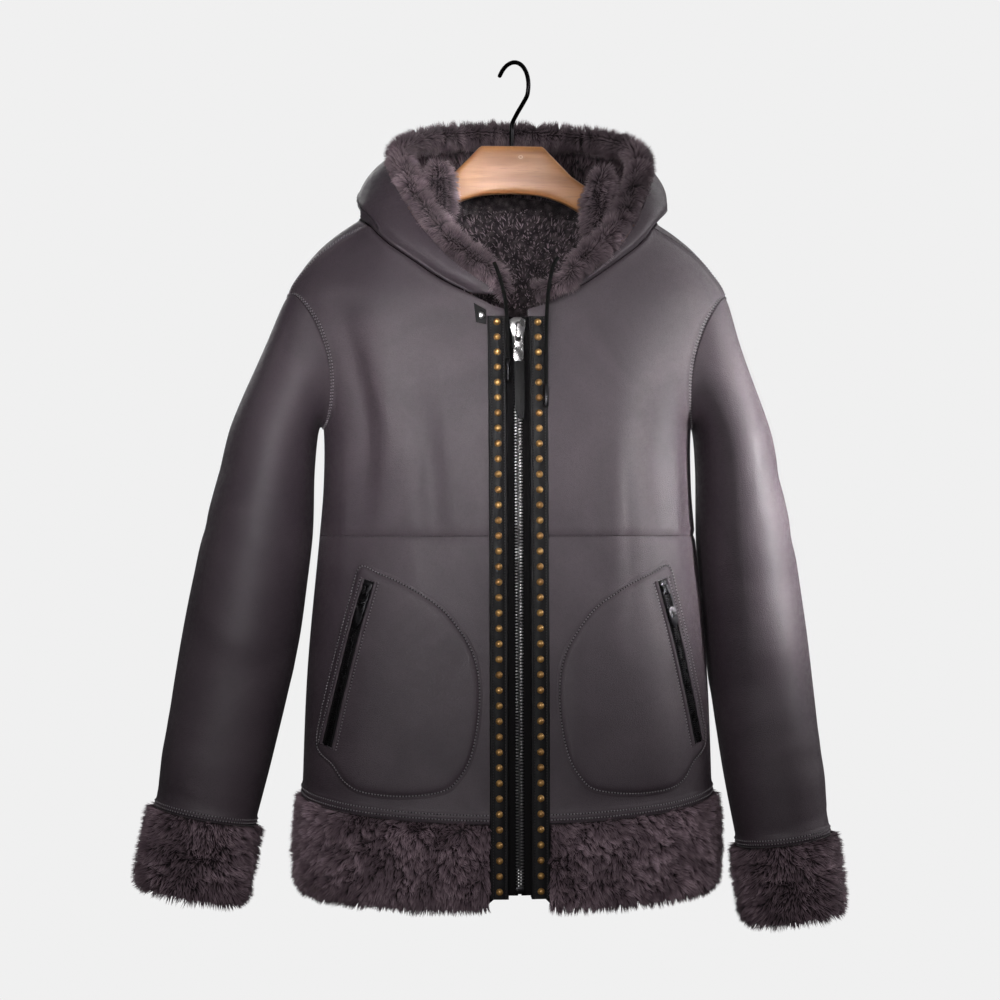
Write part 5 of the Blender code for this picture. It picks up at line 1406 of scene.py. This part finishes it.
def make_inner_wool():
    """Wool inside the hood and the upper neck, and the strip that covers the neck seam."""
    around, rise = np.meshgrid(np.linspace(0.10, 1.90, 140), np.linspace(-0.008, 0.008, 5), indexing="ij")
    half = np.minimum(around, 2 - around)
    point = np.where((around <= 1)[..., None], neck_point(half), mirrored(neck_point(half)))
    point = point + np.array([0, 0, 1.0]) * rise[..., None]
    inner = point - neck_normal(around) * (WALL - 0.0010)
    cover = add_wall("neck_seam_cover", inner, inner - neck_normal(around) * 0.0016, WOOL_SKIN, WOOL_SIDE)
    keep(cover, "fur")
    way, height = np.meshgrid(np.linspace(0.09, 1.91, 150), np.linspace(0.04, 0.99, 24), indexing="ij")
    inward = hood_inward(way, height)
    inner = hood(way, height) + inward * WOOL_FOOT
    add_wool("hood_inner_wool", inner, inward, HOOD_WOOL, HOOD_DENSITY, 0.0130,
             seed=41, comb=HANG, tuft=0.010, width=0.00105)
    angle, share = np.meshgrid(np.linspace(-172, 172, 150), np.linspace(0, 1, 24), indexing="ij")
    angle = angle + 180
    folded = (angle + 180) % 360 - 180
    level = neck_level(folded) - 0.002 - 0.105 * share
    inner = body(folded, level, -WOOL_FOOT)
    add_wool("neck_inner_wool", inner, -body_normal(folded, level), NECK_WOOL_LIT, NECK_DENSITY, 0.0085,
             seed=43, comb=HANG, tuft=0.010, width=0.00085)


# ---- Stitch rows ---------------------------------------------------------------------------------
def surface_line(angles, levels, out=0.0002):
    angles, levels = np.asarray(angles, float), np.asarray(levels, float)
    return creased(angles, levels, out), body_normal(angles, levels)


def make_stitches():
    lines = []
    clear = 0.0003
    arm = arm_levels(0.003)[2:-1]
    shoulder = np.linspace(TIP + 0.003, NECK_SIDE - 0.003, 40)
    for flip in (1, -1):
        for inset in STITCH_ROWS:
            turn, out = inset / DEGREE, float(seam_profile(inset)) + clear
            for side in (1, -1):
                angles = armhole_angle(arm, side) - side * turn
                lines.append(surface_line(flip * angles, arm, out))
            lines.append(surface_line(flip * (read(SHOULDER_SEAM, shoulder)[..., 0] + turn), shoulder, out))
            angles = np.linspace(angle_at(OPENING + PLACKET_WIDTH + 0.002, HEM_TOP), 90, 80)
            lines.append(surface_line(flip * angles, np.full(80, HEM_TOP + inset), out))
    for inset in STITCH_ROWS:
        out = float(seam_profile(inset)) + clear
        lines.append(surface_line(np.linspace(90, 270, 150), np.full(150, HEM_TOP + inset), out))
    stitches = add_row("body_stitches", lines, SEAM_PITCH, SEAM_STITCH, THREAD)
    keep(stitches, "leather")
    rows = []
    for side, flip in SIDES:
        for inset in STITCH_ROWS:
            turn = np.radians(np.arange(0, 361, 5.0) - 90)
            full = np.full(turn.shape, 1 - inset / SLEEVE_LENGTH)
            puff = sleeve_height(full, turn, SLEEVE_FOLDS) + sleeve_height(full, turn, SLEEVE_CREASES)
            line = ring_point(side, full, turn, puff + float(seam_profile(inset)) + clear)
            outward = ring_outward(side, full, turn)
            line = line + np.array([ARMHOLE_SPACE, 0, 0])
            rows.append((line, outward) if flip > 0 else (mirrored(line), mirrored(outward)))
    keep(add_row("sleeve_stitches", rows, SEAM_PITCH, SEAM_STITCH, THREAD), "leather")
    height = np.linspace(0.03, 0.97, 70)
    for side, flip in SIDES:
        way = hood_seam(height) - HOOD_STITCH_ROW
        way = way if flip > 0 else 2 - way
        inward = hood_inward(way, height)
        row = (hood(way, height) - inward * 0.0004, -inward)
        keep(add_row(f"hood_stitches_{side}", [row], SEAM_PITCH, SEAM_STITCH, BLACK_THREAD), "leather")


# ---- Front closure -------------------------------------------------------------------------------
def strip_rings(left, right, levels, profile):
    """Closed rings of a strip on the front; the profile gives shares across and heights over the leather."""
    share, out = np.array(profile).T
    x = left + (right - left) * share
    xs, zs = np.meshgrid(x, levels)
    outs = np.broadcast_to(out[None, :], xs.shape)
    return on_front(xs, zs, outs)


def make_placket(side, flip):
    low, top = REST * 0.5, REST + PLACKET_THICK
    profile = [(0.0, low), (0.0, top * 0.55), (0.025, top * 0.85), (0.06, top), (0.14, top),
               (0.17, top * 0.86), (0.20, top), (0.5, top * 1.06), (0.80, top), (0.83, top * 0.86),
               (0.86, top), (0.94, top), (0.975, top * 0.85), (1.0, top * 0.55),
               (1.0, low), (0.75, low), (0.5, low), (0.25, low)]
    near, far = flip * OPENING, flip * (OPENING + PLACKET_WIDTH)
    levels = np.linspace(PLACKET_TOP, PLACKET_END, 150)
    rings = strip_rings(near, far, levels, profile)
    strip = add_tube(f"placket_strip_{side}", rings, BLACK_LEATHER)
    keep(strip, "black_leather", f"placket_{side}")
    middle = (near + far) / 2
    studs_at = PLACKET_TOP - 0.006 - STUD_PITCH * np.arange(STUD_COUNT)
    line = on_front(np.full(STUD_COUNT, middle), studs_at, top * 1.05)
    outward = body_normal(angle_at(middle, studs_at), studs_at)
    keep(add_row(f"studs_{side}", [(line, outward)], STUD_PITCH * 0.9990, STUD, BRASS), "zip_metal")
    rows = []
    inner_levels = np.linspace(PLACKET_TOP - 0.002, PLACKET_END + 0.002, 120)
    for share in (0.17, 0.83):
        x = np.full(120, near + (far - near) * share)
        outward = body_normal(angle_at(x, inner_levels), inner_levels)
        rows.append((on_front(x, inner_levels, top * 0.86 + 0.0003), outward))
    keep(add_row(f"placket_stitches_{side}", rows, STRIP_PITCH, STRIP_STITCH, BLACK_THREAD), "black_leather")


def make_zip():
    levels = np.linspace(PLACKET_TOP, PLACKET_END + 0.004, 120)
    for side, flip in SIDES:
        near, far = flip * 0.0016, flip * (OPENING + 0.004)
        profile = [(0.0, TAPE_LOW), (0.0, TAPE_HIGH), (0.1, TAPE_HIGH + 0.0006),
                   (0.35, TAPE_HIGH + 0.0004), (0.5, TAPE_HIGH), (0.75, TAPE_HIGH - 0.0002),
                   (1.0, TAPE_HIGH - 0.001), (1.0, TAPE_LOW - 0.0006), (0.5, TAPE_LOW)]
        tape = add_tube(f"zip_tape_cloth_{side}", strip_rings(near, far, levels, profile), TAPE)
        keep(tape, "zip_tape", f"zip_tape_{side}")
        teeth = np.arange(CHAIN_TOP - 0.0015 * (flip < 0), CHAIN_END, -CHAIN_PITCH)
        x = np.full(len(teeth), flip * 0.0017)
        line = on_front(x, teeth, -0.0009)
        outward = body_normal(angle_at(x, teeth), teeth)
        rows = [(line[::flip], outward[::flip])]
        row = add_row(f"zip_teeth_{side}", rows, CHAIN_ROW_PITCH, TOOTH, TEETH_METAL)
        keep(row, "zip_metal", *(["zip_chain"] if flip > 0 else []))


# ---- Pockets -------------------------------------------------------------------------------------
def pocket_outline(count):
    size = len(POCKET)
    keyed = [(i, *POCKET[i % size]) for i in range(-2, size + 3)]
    return read(keyed, size * np.arange(count) / count)


def pocket_route(share):
    return read([(i / 3, *p) for i, p in enumerate(POCKET_ZIP)], share)


def on_leather(flip, points, out):
    """Points given as x and level at the wearer's left, on the creased leather of either side."""
    angle = angle_at(points[..., 0], points[..., 1])
    return creased(flip * angle, points[..., 1], out)


def leather_normal(flip, points):
    return body_normal(flip * angle_at(points[..., 0], points[..., 1]), points[..., 1])


def make_pocket(side, flip):
    """Pocket patch with a sewn edge, its slit with the zip, and the stitch rows."""
    ring = pocket_outline(150)
    centre = ring.mean(axis=0)
    shares = np.array([0.02, 0.15, 0.3, 0.45, 0.6, 0.72, 0.82, 0.88, 0.92, 0.945, 0.965, 0.985, 1.0])
    flat = centre + (ring - centre) * shares[:, None, None]
    edge = np.linalg.norm(ring - centre, axis=-1).mean()
    away = (1 - shares) * edge
    groove = 0.0012 * np.exp(-(((away - POCKET_STITCH_INSET) / 0.0016) ** 2))
    height = REST + 0.0022 * smooth(away / 0.010) + 0.0006 - groove
    height[-1] = REST * 0.5
    top = on_leather(flip, flat, np.broadcast_to(height[:, None], flat.shape[:2]))
    low = on_leather(flip, flat, np.full(flat.shape[:2], 0.0002))
    points = np.concatenate([top.reshape(-1, 3), low.reshape(-1, 3)])
    points[:, 0] += JACKET_SHIFT
    rows, count = flat.shape[:2]
    shift = rows * count
    faces = [tuple(f) for f in grid_faces(rows, count, 0, True)]
    faces += [tuple(f[::-1]) for f in grid_faces(rows, count, shift, True)]
    faces += [tuple(range(count)), tuple(range(shift + count - 1, shift - 1, -1))]
    last = (rows - 1) * count
    for j in range(count):
        k = (j + 1) % count
        faces.append((last + j, last + k, shift + last + k, shift + last + j))
    patch = add_object(f"pocket_patch_{side}", points, faces, [LEATHER])
    keep(patch, "leather", f"pocket_{side}")
    make_pocket_zip(side, flip)
    sewn = on_leather(flip, centre + (ring - centre) * (1 - POCKET_STITCH_INSET / edge), 0.0022)
    outward = leather_normal(flip, ring)
    rows = [(np.vstack([sewn, sewn[:1]]), np.vstack([outward, outward[:1]]))]
    for offset in (-0.0085, 0.0085):
        route, side_way = slit_line(np.linspace(-0.04, 1.04, 60))
        line = route + side_way * offset
        rows.append((on_leather(flip, line, 0.0033), leather_normal(flip, line)))
    keep(add_row(f"pocket_stitches_{side}", rows, SEAM_PITCH, SEAM_STITCH, THREAD), "leather")


def slit_line(share):
    """Points down the pocket's slit and the direction across it, as x and level."""
    step = 0.01
    route = pocket_route(np.clip(share, 0, 1))
    along = unit(pocket_route(np.clip(share + step, 0, 1)) - pocket_route(np.clip(share - step, 0, 1)))
    route = route + along * (share - np.clip(share, 0, 1))[:, None] * 0.16
    return route, np.stack([-along[:, 1], along[:, 0]], -1)


def add_slit_strip(name, flip, left, right, profile, finish, reach=(0.0, 1.0)):
    """A strip that runs down the slit between two distances to its side."""
    route, across = slit_line(np.linspace(*reach, 70))
    share, out = np.array(profile).T
    x = left + (right - left) * share
    flat = route[:, None] + across[:, None] * x[None, :, None]
    rings = on_leather(flip, flat, np.broadcast_to(out[None, :], flat.shape[:2]))
    return add_tube(name, rings, finish)


def make_pocket_zip(side, flip):
    high = 0.0036
    half = POCKET_ZIP_WIDTH / 2
    low = 0.0028
    profile = [(0, low), (0, high), (0.5, high + 0.0002), (1, high), (1, low), (0.5, low)]
    tape = add_slit_strip(f"pocket_zip_tape_{side}", flip, -half, half, profile, TAPE)
    keep(tape, "zip_tape", f"pocket_tape_{side}")
    profile = [(0, 0.0026), (0, 0.0044), (0.3, 0.0052), (0.7, 0.0050), (1.0, 0.0036), (1.0, 0.0026)]
    for label, sign in (("inner", -1), ("outer", 1)):
        near, far = sign * (half - 0.0008), sign * (half + 0.0022)
        welt = add_slit_strip(f"pocket_welt_{label}_{side}", flip, near, far, profile, LEATHER, (-0.02, 1.02))
        keep(welt, "leather")
    rows = []
    for sign in (-1, 1):
        count = int(POCKET_CHAIN_LENGTH / POCKET_CHAIN_PITCH)
        share = np.linspace(0.12, 0.99, count) + (0.5 * 0.87 / count if sign > 0 else 0)
        route, across = slit_line(share)
        line = route + across * sign * 0.0011
        points, outward = on_leather(flip, line, high + 0.0008), leather_normal(flip, line)
        turned = sign * flip > 0
        rows.append((points[::-1], outward[::-1]) if turned else (points, outward))
    keep(add_row(f"pocket_teeth_{side}", rows, POCKET_CHAIN_PITCH, SMALL_TOOTH, DARK_METAL), "black_metal")


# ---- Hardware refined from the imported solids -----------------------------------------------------
def refine(node, finish, slot, width, body_name="jacket", segments=2):
    """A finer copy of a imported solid: faces merged, edges rounded by a bevel."""
    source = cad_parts[node]
    mesh = source.data.copy()
    bm = bmesh.new()
    bm.from_mesh(mesh)
    bmesh.ops.remove_doubles(bm, verts=bm.verts, dist=1e-6)
    bmesh.ops.dissolve_limit(bm, angle_limit=math.radians(2), verts=bm.verts, edges=bm.edges)
    bm.to_mesh(mesh)
    bm.free()
    mesh.materials.clear()
    mesh.materials.append(finish)
    obj = add_to_scene(node + "_fine", mesh)
    bevel = obj.modifiers.new("rounded edges", "BEVEL")
    bevel.width = width
    bevel.segments = segments
    bevel.limit_method = "ANGLE"
    bevel.angle_limit = math.radians(25)
    bevel.harden_normals = False
    bpy.context.view_layer.update()
    finished = bpy.data.meshes.new_from_object(obj.evaluated_get(bpy.context.evaluated_depsgraph_get()))
    obj.modifiers.clear()
    obj.data = finished
    finished.shade_smooth()
    finished.set_sharp_from_angle(angle=math.radians(60))
    return keep(obj, slot, node, body_name=body_name)


def make_hardware():
    refine("zip_slider", ZIP_METAL, "zip_metal", 0.00035)
    refine("zip_pull", ZIP_METAL, "zip_metal", 0.00030, "zip_pull")
    refine("zip_pull_strap", BLACK_LEATHER, "black_leather", 0.00045, "zip_pull", 3)
    refine("zip_box", DARK_METAL, "black_metal", 0.00040)
    refine("throat_tab", BLACK_LEATHER, "black_leather", 0.00060, segments=3)
    refine("snap", ZIP_METAL, "zip_metal", 0.00020)
    for side, _ in SIDES:
        refine(f"pocket_slider_{side}", DARK_METAL, "black_metal", 0.00025)
        refine(f"pocket_pull_{side}", DARK_METAL, "black_metal", 0.00022, f"pocket_pull_{side}")


# ---- Drawcords -----------------------------------------------------------------------------------
def make_cord(side):
    """A hanging drawcord with its metal end."""
    points = np.array([on_front(*np.array(row)) for row in CORD_ROUTES[side]])
    keyed = [(i, *p) for i, p in enumerate(points)]
    fine = read(keyed, np.linspace(0, len(points) - 1, 17)) + SHIFT
    curve = bpy.data.curves.new(f"drawcord_braid_{side}", "CURVE")
    curve.dimensions = "3D"
    curve.bevel_depth = CORD_DIAMETER / 2
    curve.bevel_resolution = 4
    curve.use_fill_caps = True
    line = curve.splines.new("POLY")
    line.points.add(len(fine) - 1)
    for spot, point in zip(line.points, fine):
        spot.co = (*point, 1)
    cord = add_to_scene(f"drawcord_braid_{side}", curve)
    curve.materials.append(CORD)
    keep(cord, "cord", f"drawcord_{side}")
    end = refine(f"aglet_{side}", DARK_METAL, "black_metal", 0.00020)


# ---- Hanger --------------------------------------------------------------------------------------
def make_hanger():
    """Wooden bar with eased edges, and the dark wire hook."""
    table = np.array([(-row[0], *row[1:]) for row in reversed(HANGER[1:])] + HANGER)
    x = np.linspace(table[0, 0], table[-1, 0], 141)
    top, bottom, half, y = (np.interp(x, table[:, 0], table[:, c]) for c in range(1, 5))
    arch = read([(abs(k), b) for k, b in ((r[0], r[2]) for r in HANGER)], np.abs(x))[..., 0]
    bottom = np.maximum(bottom, arch)
    turn = np.arange(28) * 2 * np.pi / 28 + np.pi / 28
    across = power(np.cos(turn), 0.45)
    upward = power(np.sin(turn), 0.35)
    ys = y[:, None] + half[:, None] * across[None, :]
    zs = ((top + bottom) / 2)[:, None] + ((top - bottom) / 2)[:, None] * upward[None, :]
    rings = np.stack([np.broadcast_to(x[:, None], ys.shape), ys, zs], -1)
    rings[..., 0] -= JACKET_SHIFT
    bar = add_tube("hanger_wood", rings, WOOD)
    keep(bar, "wood", "hanger_bar")
    centre_z = WIRE_RADIUS - CROOK_RADIUS
    turn = math.radians(HOOK_TURN)
    forward = np.array([math.sin(turn), -math.cos(turn), 0])
    flat = [(0.0, STEM_FOOT), (0.0, -0.069), (0.0010, -0.0590), (0.0085, -0.0500), (0.0190, -0.0400)]
    for degrees in range(-24, 150, 14):
        a = math.radians(degrees)
        flat.append((CROOK_REACH + CROOK_RADIUS * math.cos(a), centre_z + CROOK_RADIUS * math.sin(a)))
    keyed = [(i, *p) for i, p in enumerate(flat)]
    path = read(keyed, np.linspace(0, len(flat) - 1, 150))
    points = forward * path[:, :1] + np.array([0, 0, 1.0]) * path[:, 1:]
    way = unit(np.gradient(points, axis=0))
    side = np.cross(forward, [0, 0, 1.0])
    other = np.cross(side, way)
    a = np.arange(16) * 2 * np.pi / 16
    ring = side[None, None] * np.cos(a)[None, :, None] + other[:, None] * np.sin(a)[None, :, None]
    rings = points[:, None] + ring * WIRE_RADIUS
    foot = points[:1, None] + ring[:1] * WIRE_RADIUS
    tip = (points[-1:] + way[-1:] * WIRE_RADIUS * 0.7)[:, None] + ring[-1:] * WIRE_RADIUS * 0.75
    rings = np.concatenate([foot, rings, tip])
    rings[..., 0] -= JACKET_SHIFT
    hook = add_tube("hook_wire", rings, WIRE)
    keep(hook, "wire", "hanger_hook")


# ---- Camera, light and surroundings --------------------------------------------------------------
CAMERA_AZIMUTH = -6
CAMERA_DISTANCE = 2.6
CAMERA_LEVEL = -0.435
CAMERA_ASIDE = 0.0115
FOCAL_LENGTH = 93.6         # on a 36 mm wide sensor
BACKGROUND = 0.871
LIGHT_FROM_BELOW, LIGHT_FROM_ABOVE = 0.03, 0.10
FLOOR_LEVEL = -1.25
FLOOR_RADIUS = 1.5
FLOOR_DIMMER = 0.02         # how much darker than the background the floor glows
SKY_LOW, SKY_HIGH = -0.6, 0.9       # upward part of the direction between which the light changes
SENSOR_WIDTH = 36
LIGHTS = [                  # name, place, target, size, watts, spread in degrees
    ("key", (1.75, 0.02, 0.25), (0.20, 0, -0.36), (0.70, 1.00), 3.6, 80),
    ("key from above", (1.20, 0.80, 0.90), (0.25, 0, -0.30), (0.60, 0.70), 1.0, 80),
    ("front", (-0.50, -1.50, -0.30), (-0.10, 0, -0.35), (0.35, 0.45), 1.08, 60),
    ("chest", (-0.30, -1.60, -0.10), (-0.10, -0.05, -0.33), (0.30, 0.30), 0.21, 14),
    ("hood", (0.45, -1.90, -0.16), (-0.060, 0, -0.130), (0.10, 0.10), 0.045, 5),
    ("sleeve", (1.30, -0.70, -0.25), (0.29, 0, -0.40), (0.20, 0.30), 1.00, 16),
    ("soft front", (0.20, -2.60, 0.30), (0, 0, -0.30), (1.20, 0.90), 10.0, 180),
    ("soft back", (-0.50, 2.40, 0.60), (0, 0, -0.40), (1.60, 1.20), 5.0, 100),
]


def add_light(name, place, target, size, watts, spread):
    """A rectangular light; a small spread keeps it to the part of the jacket that it points at."""
    light = bpy.data.lights.new(name, "AREA")
    light.shape = "RECTANGLE"
    light.spread = math.radians(spread)
    light.size, light.size_y = size
    light.energy = watts
    obj = add_to_scene(name, light)
    obj.location = place
    obj.rotation_euler = (Vector(target) - Vector(place)).to_track_quat("-Z", "Y").to_euler()
    obj.visible_camera = False


def make_world():
    """Plain light grey behind the jacket in the picture; as light it is faint, and stronger from above."""
    world = bpy.data.worlds.new("studio")
    world.use_nodes = True
    tree = world.node_tree
    seen = tree.nodes.new("ShaderNodeLightPath").outputs["Is Camera Ray"]
    way = put(tree, "ShaderNodeSeparateXYZ", {0: tree.nodes.new("ShaderNodeTexCoord").outputs["Generated"]})
    light = ramp(tree, way.outputs[2], SKY_LOW, SKY_HIGH, LIGHT_FROM_BELOW, LIGHT_FROM_ABOVE)
    shown = times(tree, seen, BACKGROUND)
    hidden = times(tree, calc(tree, "SUBTRACT", 1.0, seen), light)
    tree.links.new(plus(tree, shown, hidden), tree.nodes["Background"].inputs["Strength"])
    tree.nodes["Background"].inputs["Color"].default_value = (1.0, 1.0, 1.0, 1)
    bpy.context.scene.world = world


def floor_finish():
    """Pale floor, as light as the background in the picture and dim as a source of light."""
    finish, tree, shader = new_material("pale_floor", Roughness=1.0, Emission_Color=(1.0, 1.0, 1.0, 1))
    fleck = noise(tree, place_of(tree), 30.0)
    colour = blend_colour(tree, fleck.outputs[0], (0.05, 0.05, 0.05), (0.07, 0.07, 0.07))
    tree.links.new(colour, shader.inputs["Base Color"])
    seen = tree.nodes.new("ShaderNodeLightPath").outputs["Is Camera Ray"]
    tree.links.new(times(tree, seen, BACKGROUND - FLOOR_DIMMER), shader.inputs["Emission Strength"])
    return finish


def make_surroundings():
    a = math.radians(CAMERA_AZIMUTH)
    right, toward = Vector((math.cos(a), math.sin(a), 0)), Vector((math.sin(a), -math.cos(a), 0))
    camera = add_to_scene("camera", bpy.data.cameras.new("camera"))
    camera.data.lens = FOCAL_LENGTH
    camera.data.sensor_width = SENSOR_WIDTH
    camera.location = toward * CAMERA_DISTANCE - right * CAMERA_ASIDE + Vector((0, 0, CAMERA_LEVEL))
    camera.rotation_euler = (-toward).to_track_quat("-Z", "Y").to_euler()
    bpy.context.scene.camera = camera
    make_world()
    bpy.context.scene.view_settings.view_transform = "Standard"
    for row in LIGHTS:
        add_light(*row)
    turn = np.radians(np.arange(0, 360, 5.0))
    rim = [(FLOOR_RADIUS * math.cos(t), FLOOR_RADIUS * math.sin(t), FLOOR_LEVEL) for t in turn]
    add_object("floor", rim, [list(range(len(rim)))], [floor_finish()])


# ---- Build ---------------------------------------------------------------------------------------
def main():
    make_surroundings()
    for side, _ in SIDES:
        make_cord(side)
    make_body()
    make_hem()
    make_hood()
    make_rolls()
    make_lobes()
    make_inner_wool()
    make_stitches()
    make_zip()
    for side, flip in SIDES:
        make_sleeve(side, flip)
        make_cuff(side, flip)
        make_placket(side, flip)
        make_pocket(side, flip)
    make_hardware()
    make_hanger()
    for helper in HELPERS:
        bpy.data.objects.remove(helper)


main()
